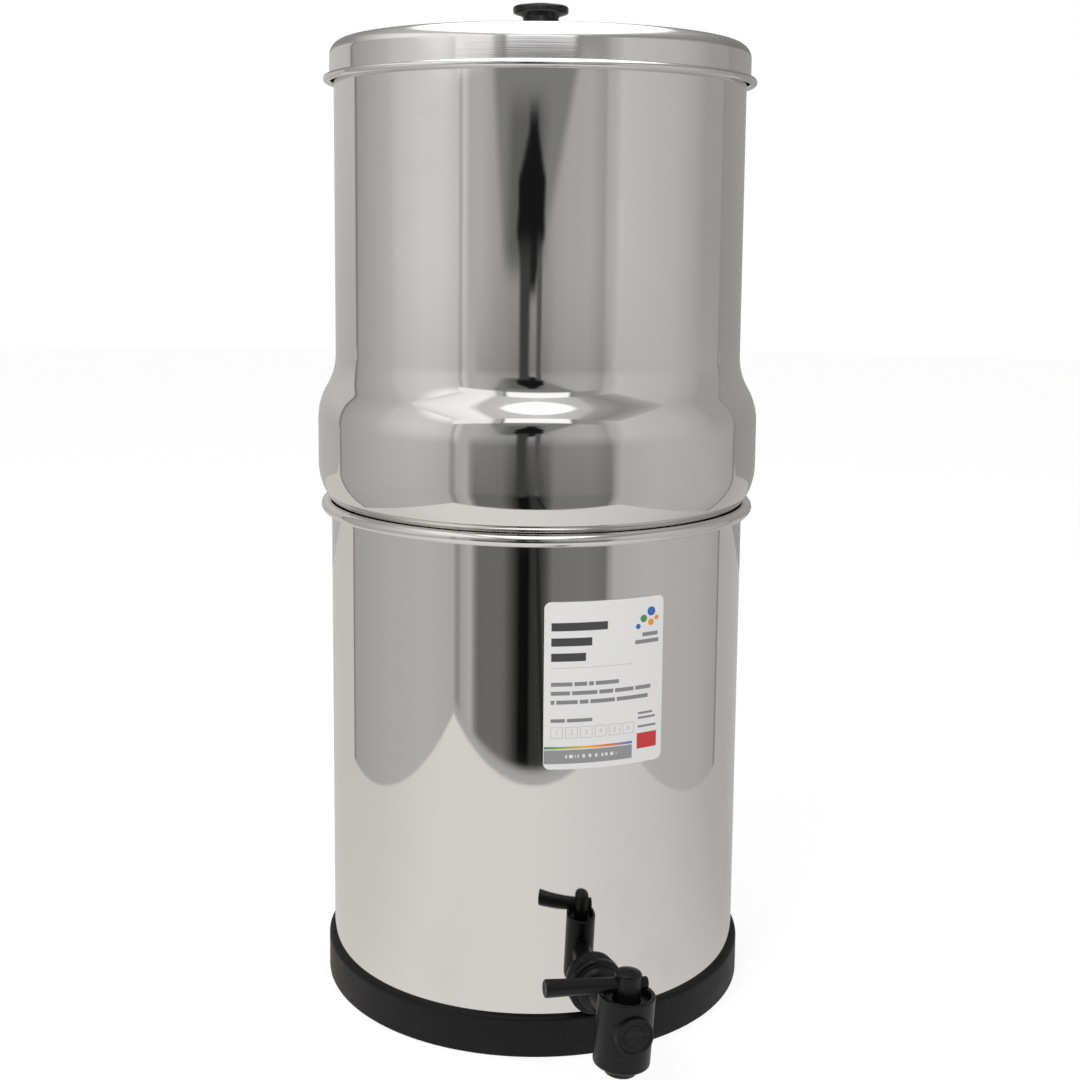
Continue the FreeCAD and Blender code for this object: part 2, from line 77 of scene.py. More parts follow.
class Turn(Enum):
    """How a piece that was turned about Z is laid before it is put in place."""

    UPRIGHT = "upright"
    OUTWARDS = "outwards"
    SIDEWAYS = "sideways"


def grey(level: float) -> float:
    """Linear strength of a grey that is given as a display level from 0 to 255."""
    share = level / 255
    return share / 12.92 if share <= 0.04045 else ((share + 0.055) / 1.055) ** 2.4


class Wiring:
    """A node tree with short calls for the nodes that the finishes use."""

    def __init__(self, tree: bpy.types.NodeTree) -> None:
        """Keep the tree.

        Args:
            tree: Node tree that new nodes go into.
        """
        self.tree = tree
        self.column = 0

    def node(self, kind: str, **values: object) -> bpy.types.Node:
        """Add a node.

        Args:
            kind: Type name of the node.
            values: Properties of the node.

        Returns:
            The new node.
        """
        made = self.tree.nodes.new(kind)
        made.location = (180 * (self.column % 12) - 1400, -240 * (self.column // 12))
        self.column += 1
        for name, value in values.items():
            setattr(made, name, value)
        return made

    def link(self, source: Socket, target: Socket) -> None:
        """Join two sockets."""
        self.tree.links.new(source, target)

    def feed(self, target: Socket, source: Socket | float | Colour) -> None:
        """Link a socket, or give it a plain value."""
        if isinstance(source, bpy.types.NodeSocket):
            self.link(source, target)
        else:
            target.default_value = source

    def maths(self, operation: str, first: Socket | float, second: Socket | float = 0.0) -> Socket:
        """Combine two numbers.

        Args:
            operation: Name of the operation.
            first: Left value.
            second: Right value.

        Returns:
            The result's socket.
        """
        made = self.node("ShaderNodeMath", operation=operation)
        self.feed(made.inputs[0], first)
        self.feed(made.inputs[1], second)
        return made.outputs[0]

    def span(self, value: Socket, low: float, high: float, start: float = 0.0, end: float = 1.0,
             smooth: bool = False) -> Socket:
        """Map a number from one range to another, and stop at its ends.

        Args:
            value: The number.
            low: Value that gives the start.
            high: Value that gives the end.
            start: Result at the low value.
            end: Result at the high value.
            smooth: Whether the change eases in and out.

        Returns:
            The mapped number's socket.
        """
        made = self.node("ShaderNodeMapRange", interpolation_type="SMOOTHSTEP" if smooth else "LINEAR")
        self.feed(made.inputs["Value"], value)
        for name, number in (("From Min", low), ("From Max", high), ("To Min", start), ("To Max", end)):
            made.inputs[name].default_value = number
        return made.outputs["Result"]

    def noise(self, place: Socket, scale: float, detail: float = 2.0, rough: float = 0.5) -> Socket:
        """Noise value at a place.

        Args:
            place: Coordinates in metres.
            scale: Blobs per metre.
            detail: Number of finer layers.
            rough: Strength of the finer layers.

        Returns:
            The noise value's socket.
        """
        made = self.node("ShaderNodeTexNoise")
        self.link(place, made.inputs["Vector"])
        made.inputs["Scale"].default_value = scale
        made.inputs["Detail"].default_value = detail
        made.inputs["Roughness"].default_value = rough
        return made.outputs[0]

    def stretched(self, place: Socket, scale: Colour) -> Socket:
        """Coordinates scaled by a different amount along each axis."""
        made = self.node("ShaderNodeMapping")
        self.link(place, made.inputs["Vector"])
        made.inputs["Scale"].default_value = scale
        return made.outputs[0]

    def blend(self, factor: Socket | float, first: Socket | Colour, second: Socket | Colour) -> Socket:
        """Mix two colours.

        Args:
            factor: Share of the second colour.
            first: First colour.
            second: Second colour.

        Returns:
            The mixed colour's socket.
        """
        made = self.node("ShaderNodeMix", data_type="RGBA")
        self.feed(made.inputs[0], factor)
        for socket, colour in ((made.inputs[6], first), (made.inputs[7], second)):
            self.feed(socket, colour if isinstance(colour, bpy.types.NodeSocket) else (*colour, 1.0))
        return made.outputs[2]

    def place(self) -> Socket:
        """Object coordinates."""
        return self.node("ShaderNodeTexCoord").outputs["Object"]

    def plain(self, kind: str, colour: Colour, strength: float | None = None) -> Socket:
        """A shader of one colour.

        Args:
            kind: Type name of its node.
            colour: The colour.
            strength: Its strength, where it is a light that isn't of full strength.

        Returns:
            The shader's socket.
        """
        made = self.node(kind)
        made.inputs["Color"].default_value = (*colour, 1.0)
        if strength is not None:
            made.inputs["Strength"].default_value = strength
        return made.outputs[0]

    def chosen(self, ray: str, otherwise: Socket, special: Socket) -> Socket:
        """A shader that one kind of ray sees, and another for the rest.

        Args:
            ray: Output of Light Path that tells the kind.
            otherwise: Shader for the other rays.
            special: Shader for that kind.

        Returns:
            The shader's socket.
        """
        made = self.node("ShaderNodeMixShader")
        sources = (self.node("ShaderNodeLightPath").outputs[ray], otherwise, special)
        for source, socket in zip(sources, made.inputs):
            self.link(source, socket)
        return made.outputs[0]


@dataclass(frozen=True)
class Effect:
    """A shared node group with named inputs and outputs."""

    name: str
    inputs: tuple[tuple[str, float], ...]
    outputs: tuple[str, ...]
    body: Callable[[Wiring, dict[str, Socket]], dict[str, Socket]]

    def group(self) -> bpy.types.NodeTree:
        """Make the group, or find it where it has been made.

        Returns:
            The group's node tree.
        """
        found = bpy.data.node_groups.get(self.name)
        if found:
            return found
        tree = bpy.data.node_groups.new(self.name, "ShaderNodeTree")
        tree.interface.new_socket("Place", in_out="INPUT", socket_type="NodeSocketVector")
        for name, value in self.inputs:
            socket = tree.interface.new_socket(name, in_out="INPUT", socket_type="NodeSocketFloat")
            socket.default_value = value
        for name in self.outputs:
            tree.interface.new_socket(name, in_out="OUTPUT", socket_type="NodeSocketFloat")
        wiring = Wiring(tree)
        entry = wiring.node("NodeGroupInput")
        results = self.body(wiring, {socket.name: socket for socket in entry.outputs if socket.name})
        leave = wiring.node("NodeGroupOutput")
        for name, socket in results.items():
            wiring.link(socket, leave.inputs[name])
        return tree

    def add(self, wiring: Wiring, place: Socket, **values: float) -> dict[str, Socket]:
        """Put the group in a material.

        Args:
            wiring: The material's wiring.
            place: Coordinates for the effect.
            values: Values for the group's inputs, by name with _ for a space.

        Returns:
            The group's outputs by name.
        """
        made = wiring.node("ShaderNodeGroup", node_tree=self.group())
        wiring.link(place, made.inputs["Place"])
        for name, value in values.items():
            made.inputs[name.replace("_", " ")].default_value = value
        return {socket.name: socket for socket in made.outputs}


def polish_body(wiring: Wiring, given: dict[str, Socket]) -> dict[str, Socket]:
    """Traces of the polishing wheel round a turned piece, slow ripples in the sheet, and hand marks.

    Args:
        wiring: The group's wiring.
        given: The group's inputs.

    Returns:
        Height of the traces and the ripples, and a mask of marks.
    """
    place = given["Place"]
    fine = wiring.noise(wiring.stretched(place, (9.0, 9.0, 2600.0)), 1.0, 3.0, 0.7)
    coarse = wiring.noise(wiring.stretched(place, (5.0, 5.0, 420.0)), 1.0, 2.0, 0.5)
    traces = wiring.maths("MULTIPLY", wiring.maths("ADD", fine, coarse), given["Traces"])
    slow = wiring.noise(wiring.stretched(place, (13.0, 13.0, 6.0)), 1.0, 1.0, 0.4)
    ripples = wiring.maths("MULTIPLY", slow, given["Ripple"])
    hand = wiring.noise(place, 22.0, 4.0, 0.6)
    patchy = wiring.noise(place, 5.0, 1.0, 0.5)
    marks = wiring.maths("MULTIPLY", wiring.span(hand, 0.52, 0.72, smooth=True),
                         wiring.span(patchy, 0.45, 0.65))
    return {"Traces": traces, "Ripple": ripples, "Marks": wiring.maths("MULTIPLY", marks, given["Marks"])}


def moulded_body(wiring: Wiring, given: dict[str, Socket]) -> dict[str, Socket]:
    """Fine grain of a mould, soft cloudiness, and dust that settles on it.

    Args:
        wiring: The group's wiring.
        given: The group's inputs.

    Returns:
        Grain height, cloudiness and a dust mask.
    """
    place = given["Place"]
    grain = wiring.maths("MULTIPLY", wiring.noise(place, 2600.0, 2.0, 0.6), given["Grain"])
    cloud = wiring.noise(place, 60.0, 3.0, 0.55)
    speck = wiring.span(wiring.noise(place, 1400.0, 1.0, 0.5), 0.66, 0.74)
    drift = wiring.span(wiring.noise(place, 35.0, 2.0, 0.5), 0.42, 0.7)
    dust = wiring.maths("MULTIPLY", wiring.maths("MULTIPLY", speck, drift), given["Dust"])
    return {"Grain": grain, "Cloud": cloud, "Dust": dust}


def rubbed_body(wiring: Wiring, given: dict[str, Socket]) -> dict[str, Socket]:
    """Short scuffs in two directions, as handling and wiping leave them.

    Args:
        wiring: The group's wiring.
        given: The group's inputs.

    Returns:
        A mask of scuffs.
    """
    place = given["Place"]
    across = wiring.noise(wiring.stretched(place, (60.0, 60.0, 1900.0)), 1.0, 2.0, 0.6)
    along = wiring.noise(wiring.stretched(place, (1700.0, 300.0, 80.0)), 1.0, 2.0, 0.6)
    both = wiring.maths("MAXIMUM", wiring.span(across, 0.62, 0.74), wiring.span(along, 0.64, 0.76))
    where = wiring.span(wiring.noise(place, 30.0, 2.0, 0.5), 0.45, 0.65)
    return {"Scuffs": wiring.maths("MULTIPLY", wiring.maths("MULTIPLY", both, where), given["Amount"])}


POLISH = Effect("polish_traces", (("Traces", 1.0), ("Ripple", 1.0), ("Marks", 1.0)),
                ("Traces", "Ripple", "Marks"), polish_body)
MOULDED = Effect("moulded_grain", (("Grain", 1.0), ("Dust", 1.0)), ("Grain", "Cloud", "Dust"), moulded_body)
RUBBED = Effect("rubbed_scuffs", (("Amount", 1.0),), ("Scuffs",), rubbed_body)


def cleared(owner: bpy.types.Material | bpy.types.World,
            output: str = "ShaderNodeOutputMaterial") -> tuple[Wiring, bpy.types.Node]:
    """Empty a node tree but for a new output node.

    Args:
        owner: The material or the world.
        output: Type name of the output node.

    Returns:
        The wiring of the tree and its output node.
    """
    owner.use_nodes = True
    owner.node_tree.nodes.clear()
    wiring = Wiring(owner.node_tree)
    return wiring, wiring.node(output)


def bump(wiring: Wiring, height: Socket, depth: float, under: Socket | None = None) -> Socket:
    """Turn a height into a normal.

    Args:
        wiring: The material's wiring.
        height: Height from 0 to 1.
        depth: Metres for a height of 1.
        under: Normal that the bump adds to.

    Returns:
        The normal's socket.
    """
    made = wiring.node("ShaderNodeBump")
    made.inputs["Distance"].default_value = depth
    made.inputs["Strength"].default_value = 1.0
    wiring.link(height, made.inputs["Height"])
    if under:
        wiring.link(under, made.inputs["Normal"])
    return made.outputs[0]


@dataclass(frozen=True)
class Finish:
    """What a surface looks like."""

    name: str

    def material(self) -> bpy.types.Material:
        """Make the material, or find it where it has been made.

        Returns:
            The material.
        """
        found = bpy.data.materials.get(self.name)
        if found:
            return found
        made = bpy.data.materials.new(self.name)
        wiring, output = cleared(made)
        surface = wiring.node("ShaderNodeBsdfPrincipled")
        wiring.link(surface.outputs[0], output.inputs["Surface"])
        self.wire(wiring, wiring.place(), surface.inputs)
        return made

    def wire(self, wiring: Wiring, place: Socket, surface: bpy.types.bpy_prop_collection) -> None:
        """Lay the nodes that feed the shader.

        Args:
            wiring: The material's wiring.
            place: Object coordinates.
            surface: The shader's inputs.
        """
        raise NotImplementedError


@dataclass(frozen=True)
class PolishedSteel(Finish):
    """Stainless steel from a polishing wheel."""

    colour: Colour = (0.80, 0.792, 0.775)
    roughness: float = 0.035
    marked: float = 0.05
    traces: float = 0.9e-6
    ripple: float = 26e-6
    metal: float = 1.0

    def wire(self, wiring: Wiring, place: Socket, surface: bpy.types.bpy_prop_collection) -> None:
        """Lay the nodes that feed the shader.

        Args:
            wiring: The material's wiring.
            place: Object coordinates.
            surface: The shader's inputs.
        """
        marks = POLISH.add(wiring, place, Traces=1.0, Ripple=1.0, Marks=1.0)
        surface["Metallic"].default_value = self.metal
        dull = tuple(0.93 * channel for channel in self.colour)
        wiring.link(wiring.blend(marks["Marks"], self.colour, dull), surface["Base Color"])
        wiring.link(wiring.span(marks["Marks"], 0.0, 1.0, self.roughness, self.roughness + self.marked),
                    surface["Roughness"])
        waves = bump(wiring, marks["Ripple"], self.ripple)
        wiring.link(bump(wiring, marks["Traces"], self.traces, waves), surface["Normal"])


@dataclass(frozen=True)
class Moulded(Finish):
    """Moulded plastic or rubber."""

    colour: Colour
    roughness: float
    grain: float
    dust: float = 0.25
    scuffed: float = 0.3
    dust_colour: Colour = (0.30, 0.29, 0.28)
    shade: float = 0.8
    gloss: float = 0.5

    def wire(self, wiring: Wiring, place: Socket, surface: bpy.types.bpy_prop_collection) -> None:
        """Lay the nodes that feed the shader.

        Args:
            wiring: The material's wiring.
            place: Object coordinates.
            surface: The shader's inputs.
        """
        grain = MOULDED.add(wiring, place, Grain=1.0, Dust=self.dust)
        scuffs = RUBBED.add(wiring, place, Amount=self.scuffed)
        dark = tuple(self.shade * channel for channel in self.colour)
        base = wiring.blend(grain["Cloud"], dark, self.colour)
        worn = wiring.blend(wiring.maths("MULTIPLY", scuffs["Scuffs"], 0.35), base, self.dust_colour)
        wiring.link(wiring.blend(grain["Dust"], worn, self.dust_colour), surface["Base Color"])
        rough = wiring.span(grain["Cloud"], 0.3, 0.7, self.roughness - 0.04, self.roughness + 0.05)
        wiring.link(wiring.maths("ADD", rough, wiring.maths("MULTIPLY", scuffs["Scuffs"], 0.15)),
                    surface["Roughness"])
        surface["Specular IOR Level"].default_value = self.gloss
        wiring.link(bump(wiring, grain["Grain"], self.grain), surface["Normal"])


@dataclass(frozen=True)
class Fired(Finish):
    """Porous unglazed ceramic, or pressed carbon."""

    colour: Colour
    stain: Colour
    pits: float

    def wire(self, wiring: Wiring, place: Socket, surface: bpy.types.bpy_prop_collection) -> None:
        """Lay the nodes that feed the shader.

        Args:
            wiring: The material's wiring.
            place: Object coordinates.
            surface: The shader's inputs.
        """
        grain = MOULDED.add(wiring, place, Grain=1.0, Dust=0.0)
        tide = wiring.span(wiring.noise(wiring.stretched(place, (20.0, 20.0, 60.0)), 1.0, 4.0, 0.6), 0.45, 0.75)
        wiring.link(wiring.blend(wiring.maths("MULTIPLY", tide, 0.5), self.colour, self.stain),
                    surface["Base Color"])
        surface["Roughness"].default_value = 0.92
        pits = wiring.noise(place, 700.0, 3.0, 0.7)
        wiring.link(bump(wiring, grain["Grain"], 0.00004, bump(wiring, pits, self.pits)),
                    surface["Normal"])


@dataclass(frozen=True)
class Printed(Finish):
    """Smooth vinyl of the label, or an ink on it."""

    colour: Colour
    roughness: float = 0.42

    def wire(self, wiring: Wiring, place: Socket, surface: bpy.types.bpy_prop_collection) -> None:
        """Lay the nodes that feed the shader.

        Args:
            wiring: The material's wiring.
            place: Object coordinates.
            surface: The shader's inputs.
        """
        fibre = wiring.noise(place, 900.0, 3.0, 0.6)
        faded = tuple(0.95 * channel for channel in self.colour)
        wiring.link(wiring.blend(fibre, faded, self.colour), surface["Base Color"])
        wiring.link(wiring.span(fibre, 0.3, 0.7, self.roughness - 0.05, self.roughness + 0.05),
                    surface["Roughness"])
        wiring.link(bump(wiring, fibre, 0.000004), surface["Normal"])


@dataclass(frozen=True)
class RainbowInk(Finish):
    """Ink that runs from green through orange to blue along the label."""

    left: float
    right: float

    def wire(self, wiring: Wiring, place: Socket, surface: bpy.types.bpy_prop_collection) -> None:
        """Lay the nodes that feed the shader.

        Args:
            wiring: The material's wiring.
            place: Object coordinates.
            surface: The shader's inputs.
        """
        axes = wiring.node("ShaderNodeSeparateXYZ")
        wiring.link(place, axes.inputs[0])
        ramp = wiring.node("ShaderNodeValToRGB")
        wiring.link(wiring.span(axes.outputs["X"], self.left, self.right), ramp.inputs[0])
        stops = ((0.0, (0.05, 0.22, 0.12)), (0.25, (0.30, 0.42, 0.08)), (0.5, (0.80, 0.40, 0.06)),
                 (0.72, (0.72, 0.16, 0.05)), (1.0, (0.05, 0.16, 0.42)))
        while len(ramp.color_ramp.elements) < len(stops):
            ramp.color_ramp.elements.new(0.5)
        for element, (where, colour) in zip(ramp.color_ramp.elements, stops):
            element.position = where
            element.color = (*colour, 1.0)
        wiring.link(ramp.outputs[0], surface["Base Color"])
        surface["Roughness"].default_value = 0.42


LOWER_STEEL = PolishedSteel("polished_lower_steel", traces=1.1e-6)
UPPER_STEEL = PolishedSteel("polished_upper_steel", traces=2.2e-6, roughness=0.045)
LID_STEEL = PolishedSteel("pressed_lid_steel", roughness=0.085, marked=0.08, traces=10e-6, ripple=18e-6)
INNER_STEEL = PolishedSteel("satin_inner_steel", (0.62, 0.615, 0.60), 0.38, 0.06, 3e-6, 4e-6, 0.55)
ZINC = PolishedSteel("zinc_plate", (0.52, 0.53, 0.55), 0.3, 0.12, 3e-6, 4e-6)
RUBBER = Moulded("base_rubber", (0.0045, 0.0045, 0.0048), 0.5, 0.00004, dust=0.10, scuffed=0.25, gloss=0.25)
WASHER_RUBBER = Moulded("washer_rubber", (0.008, 0.008, 0.008), 0.65, 0.00003, gloss=0.3)
TAP_PLASTIC = Moulded("tap_plastic", (0.0042, 0.0042, 0.0046), 0.34, 0.000018, dust=0.08, scuffed=0.2,
                      gloss=0.3)
KNOB_PLASTIC = Moulded("knob_plastic", (0.004, 0.004, 0.0044), 0.17, 0.000006, dust=0.06, scuffed=0.2,
                       gloss=0.4)
WHITE_PLASTIC = Moulded("white_plastic", (0.78, 0.78, 0.75), 0.38, 0.000015, dust=0.2, scuffed=0.2,
                        dust_colour=(0.5, 0.48, 0.44), shade=0.95)
CERAMIC = Fired("candle_ceramic", (0.80, 0.775, 0.72), (0.66, 0.58, 0.45), 0.00009)
CARBON = Fired("carbon_block", (0.022, 0.022, 0.023), (0.04, 0.04, 0.04), 0.00018)
PAPER = Printed("label_vinyl", (0.72, 0.72, 0.725))
DARK_INK = Printed("label_dark_ink", (0.055, 0.055, 0.06))
GREY_INK = Printed("label_grey_ink", (0.22, 0.22, 0.23))
PALE_INK = Printed("label_pale_ink", (0.50, 0.50, 0.51))
BAND_INK = Printed("label_band_ink", (0.27, 0.27, 0.28))
RED_INK = Printed("label_red_ink", (0.55, 0.03, 0.035))
ORANGE_INK = Printed("label_orange_ink", (0.75, 0.28, 0.03))
GREEN_INK = Printed("label_green_ink", (0.06, 0.26, 0.10))
BLUE_INK = Printed("label_blue_ink", (0.03, 0.13, 0.42))

def clear_selection() -> None:
    """Deselect every object."""
    bpy.ops.object.select_all(action="DESELECT")


def take(piece: bpy.types.Object) -> None:
    """Select one object and make it the active one."""
    clear_selection()
    piece.select_set(True)
    bpy.context.view_layer.objects.active = piece


def fresh(name: str) -> bpy.types.Object:
    """Name the object that an operator has just added, and take it.

    Args:
        name: Its name.

    Returns:
        The object.
    """
    piece = bpy.context.object
    piece.name = name
    piece.data.name = name
    take(piece)
    return piece


def settle(piece: bpy.types.Object, matrix: Matrix | None = None) -> bpy.types.Object:
    """Put an object in place and write the place into its mesh.

    Args:
        piece: The object.
        matrix: Its place, or None for where it stands.

    Returns:
        The object.
    """
    take(piece)
    if matrix is not None:
        piece.matrix_world = matrix @ piece.matrix_world
    bpy.context.view_layer.update()
    bpy.ops.object.transform_apply(location=True, rotation=True, scale=True)
    return piece


def tidy(piece: bpy.types.Object, close: float = 2e-6) -> bpy.types.Object:
    """Merge doubles and turn all faces outwards.

    Args:
        piece: The object.
        close: Distance under which points are merged.

    Returns:
        The object.
    """
    take(piece)
    bpy.ops.object.mode_set(mode="EDIT")
    bpy.ops.mesh.select_all(action="SELECT")
    bpy.ops.mesh.remove_doubles(threshold=close)
    bpy.ops.mesh.normals_make_consistent(inside=False)
    bpy.ops.object.mode_set(mode="OBJECT")
    return piece


def smooth(piece: bpy.types.Object, angle: float = 28.0) -> bpy.types.Object:
    """Shade a piece smooth, but for edges sharper than an angle.

    Args:
        piece: The object.
        angle: The angle in degrees.

    Returns:
        The object.
    """
    take(piece)
    bpy.ops.object.shade_smooth_by_angle(angle=radians(angle))
    return piece


def modified(piece: bpy.types.Object, kind: str, **values: object) -> bpy.types.Object:
    """Add a modifier and apply it.

    Args:
        piece: The object.
        kind: The modifier's type.
        values: Its settings.

    Returns:
        The object.
    """
    take(piece)
    modifier = piece.modifiers.new(kind.lower(), kind)
    for name, value in values.items():
        setattr(modifier, name, value)
    bpy.ops.object.modifier_apply(modifier=modifier.name)
    return piece


def combined(piece: bpy.types.Object, tools: Iterable[bpy.types.Object], operation: str) -> bpy.types.Object:
    """Join or cut a piece with others, which are used up.

    Args:
        piece: The object.
        tools: The other objects.
        operation: UNION, DIFFERENCE or INTERSECT.

    Returns:
        The object.
    """
    for tool in tools:
        modified(piece, "BOOLEAN", operation=operation, object=tool, solver="EXACT")
        bpy.data.objects.remove(tool)
    return piece


class Profile:
    """A line of straight and round stretches, in metres, that is turned about an axis."""

    hold: float = 0.35 * MM

    def __init__(self, radius: float, height: float) -> None:
        """Start the line.

        Args:
            radius: Distance from the axis.
            height: Height along the axis.
        """
        self.points: list[tuple[float, float]] = [(radius, height)]

    def line(self, radius: float, height: float) -> "Profile":
        """Go straight to a point, with a point near each end that holds the surface flat.

        Args:
            radius: Distance from the axis.
            height: Height along the axis.

        Returns:
            The profile.
        """
        r, z = self.points[-1]
        length = sqrt((radius - r) ** 2 + (height - z) ** 2)
        if length < 1e-7:
            return self
        if length > 5 * self.hold:
            for share in (self.hold / length, 1 - self.hold / length):
                self.points.append((r + (radius - r) * share, z + (height - z) * share))
        self.points.append((radius, height))
        return self

    def arc(self, radius: float, height: float, size: float, start: float, end: float,
            step: float = 5.0) -> "Profile":
        """Go straight to an arc and round it.

        Args:
            radius: The arc's centre, from the axis.
            height: The centre's height.
            size: The arc's radius.
            start: First angle in degrees, from outwards, 0, through up, 90.
            end: Last angle.
            step: Largest angle between points.

        Returns:
            The profile.
        """
        self.line(radius + size * cos(radians(start)), height + size * sin(radians(start)))
        return self.curve(radius, height, size, start, end, max(2, round(abs(end - start) / step)))

    def curve(self, radius: float, height: float, size: float, start: float, end: float,
              count: int) -> "Profile":
        """Go round an arc that begins where the line ends.

        Args:
            radius: The arc's centre, from the axis.
            height: The centre's height.
            size: The arc's radius.
            start: First angle in degrees, from outwards, 0, through up, 90.
            end: Last angle.
            count: Number of points.

        Returns:
            The profile.
        """
        for share in range(1, count + 1):
            turn = radians(start + (end - start) * share / count)
            self.points.append((radius + size * cos(turn), height + size * sin(turn)))
        return self

    def rows(self, radius: float, heights: Iterable[float]) -> "Profile":
        """Go on through points of one radius.

        Args:
            radius: Distance from the axis.
            heights: The heights, in the order in which the line meets them.

        Returns:
            The profile.
        """
        self.points += [(radius, height) for height in heights]
        return self

    def drawn(self, name: str) -> bpy.types.Object:
        """Draw the closed line in edit mode, one point after another.

        Args:
            name: Name of the object.

        Returns:
            The object, in edit mode, with all of the line selected.
        """
        clear_selection()
        bpy.ops.mesh.primitive_plane_add(size=1 * MM, location=(0, 0, 0))
        piece = fresh(name)
        bpy.ops.object.mode_set(mode="EDIT")
        bpy.ops.mesh.select_all(action="SELECT")
        bpy.ops.mesh.merge(type="CENTER")
        r, z = self.points[0]
        bpy.ops.transform.translate(value=(r, 0, z))
        closed = self.points[1:] + [self.points[0]]
        if self.points[0][0] < 1e-9 and self.points[-1][0] < 1e-9:
            closed.pop()
        for radius, height in closed:
            bpy.ops.mesh.extrude_vertices_move(
                TRANSFORM_OT_translate={"value": (radius - r, 0, height - z)})
            r, z = radius, height
        bpy.ops.mesh.select_all(action="SELECT")
        bpy.ops.mesh.remove_doubles(threshold=1e-6)
        return piece

    def turned(self, name: str, steps: int = 96) -> bpy.types.Object:
        """Turn the line about the Z axis.

        Args:
            name: Name of the object.
            steps: Points round the axis.

        Returns:
            The turned object.
        """
        piece = self.drawn(name)
        bpy.ops.mesh.spin(steps=steps, angle=2 * pi, center=(0, 0, 0), axis=(0, 0, 1))
        bpy.ops.object.mode_set(mode="OBJECT")
        return tidy(piece)

    def swept(self, name: str, start: float, end: float, steps: int) -> bpy.types.Object:
        """Turn the line through part of a circle and close both ends.

        Args:
            name: Name of the object.
            start: First angle in degrees, from -Y towards +X.
            end: Last angle.
            steps: Number of stretches.

        Returns:
            The object.
        """
        piece = self.drawn(name)
        bpy.ops.mesh.spin(steps=steps, angle=radians(end - start), center=(0, 0, 0), axis=(0, 0, 1))
        bpy.ops.mesh.select_all(action="SELECT")
        bpy.ops.mesh.fill_holes(sides=0)
        bpy.ops.object.mode_set(mode="OBJECT")
        tidy(piece)
        centre = piece.data.vertices[0].co.copy()
        turned = degrees(atan2(centre.x, -centre.y))
        others = [degrees(atan2(v.co.x, -v.co.y)) for v in piece.data.vertices]
        first = min((angle - turned + 540) % 360 - 180 for angle in others) + turned
        return settle(piece, Matrix.Rotation(radians(start - first), 4, "Z"))


def rod(name: str, radius: float, start: Point, end: Point, sides: int = 64) -> bpy.types.Object:
    """A plain bar between two points, for cutting with.

    Args:
        name: Name of the object.
        radius: Its radius.
        start: Middle of one end.
        end: Middle of the other end.
        sides: Points round it.

    Returns:
        The object.
    """
    start, end = Vector(start), Vector(end)
    along = end - start
    clear_selection()
    bpy.ops.mesh.primitive_cylinder_add(vertices=sides, radius=radius, depth=along.length,
                                        location=(start + end) / 2,
                                        rotation=along.to_track_quat("Z", "Y").to_euler())
    return settle(fresh(name))


def thread(name: str, core: float, crest: float, pitch: float, base: float, turns: int) -> bpy.types.Object:
    """A helical ridge about the Z axis, closed at both ends.

    Args:
        name: Name of the object.
        core: Radius that the ridge stands on.
        crest: Radius of its crest.
        pitch: Height of one turn.
        base: Height where it starts.
        turns: Number of turns.

    Returns:
        The object.
    """
    ridge = Profile(core, base - 0.42 * pitch)
    ridge.points += [(core, base + 0.42 * pitch), (crest, base + 0.08 * pitch), (crest, base - 0.08 * pitch)]
    piece = ridge.drawn(name)
    bpy.ops.object.mode_set(mode="OBJECT")
    modified(piece, "SCREW", axis="Z", angle=2 * pi, screw_offset=pitch, iterations=turns, steps=36,
             render_steps=36, use_smooth_shade=False, use_merge_vertices=False)
    take(piece)
    bpy.ops.object.mode_set(mode="EDIT")
    bpy.ops.mesh.select_all(action="SELECT")
    bpy.ops.mesh.fill_holes(sides=0)
    bpy.ops.object.mode_set(mode="OBJECT")
    return tidy(piece)


def joined(name: str, pieces: list[bpy.types.Object]) -> bpy.types.Object:
    """Join objects into one.

    Args:
        name: Name of the result.
        pieces: The objects.

    Returns:
        The joined object.
    """
    clear_selection()
    for piece in pieces:
        piece.select_set(True)
    bpy.context.view_layer.objects.active = pieces[0]
    if len(pieces) > 1:
        bpy.ops.object.join()
    return fresh(name)


def dressed(piece: bpy.types.Object, finish: Finish) -> bpy.types.Object:
    """Give an object one finish."""
    piece.data.materials.clear()
    piece.data.materials.append(finish.material())
    return piece


def lined(piece: bpy.types.Object, outside: Finish, inside: Finish, reach: float) -> None:
    """Give a vessel one finish outside and another on the faces that look at its axis or up from its floor.

    Args:
        piece: The vessel, which stands on the Z axis.
        outside: Finish of its outer faces.
        inside: Finish of its inner faces.
        reach: Radius inside which the inner faces lie.
    """
    dressed(piece, outside)
    piece.data.materials.append(inside.material())
    for face in piece.data.polygons:
        away = Vector((face.center.x, face.center.y, 0))
        inwards = away.length < reach and (face.normal.dot(away) < -0.2 * away.length or face.normal.z > 0.5)
        face.material_index = 1 if inwards else 0


def hand_over(piece: bpy.types.Object, finish: Finish | None, slot: Slot, body: Body,
              *nodes: str) -> None:
    """Finish a piece: dress it, let it stand for its nodes, and let it ride on its body.

    Args:
        piece: The object.
        finish: Its finish, or None where it is dressed already.
        slot: Its slot in the record.
        body: The body that it moves with.
        nodes: The nodes that it replaces.
    """
    if finish:
        dressed(piece, finish)
    if nodes:
        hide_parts(*nodes)
    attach(piece, body.value)
    log.info("%s: %d faces, %s", piece.name, len(piece.data.polygons), slot.value)


def repaint(node: str, finish: Finish) -> None:
    """Give a carried-over node a finish."""
    dressed(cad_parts[node], finish)
    log.info("%s: kept from the frame", node)


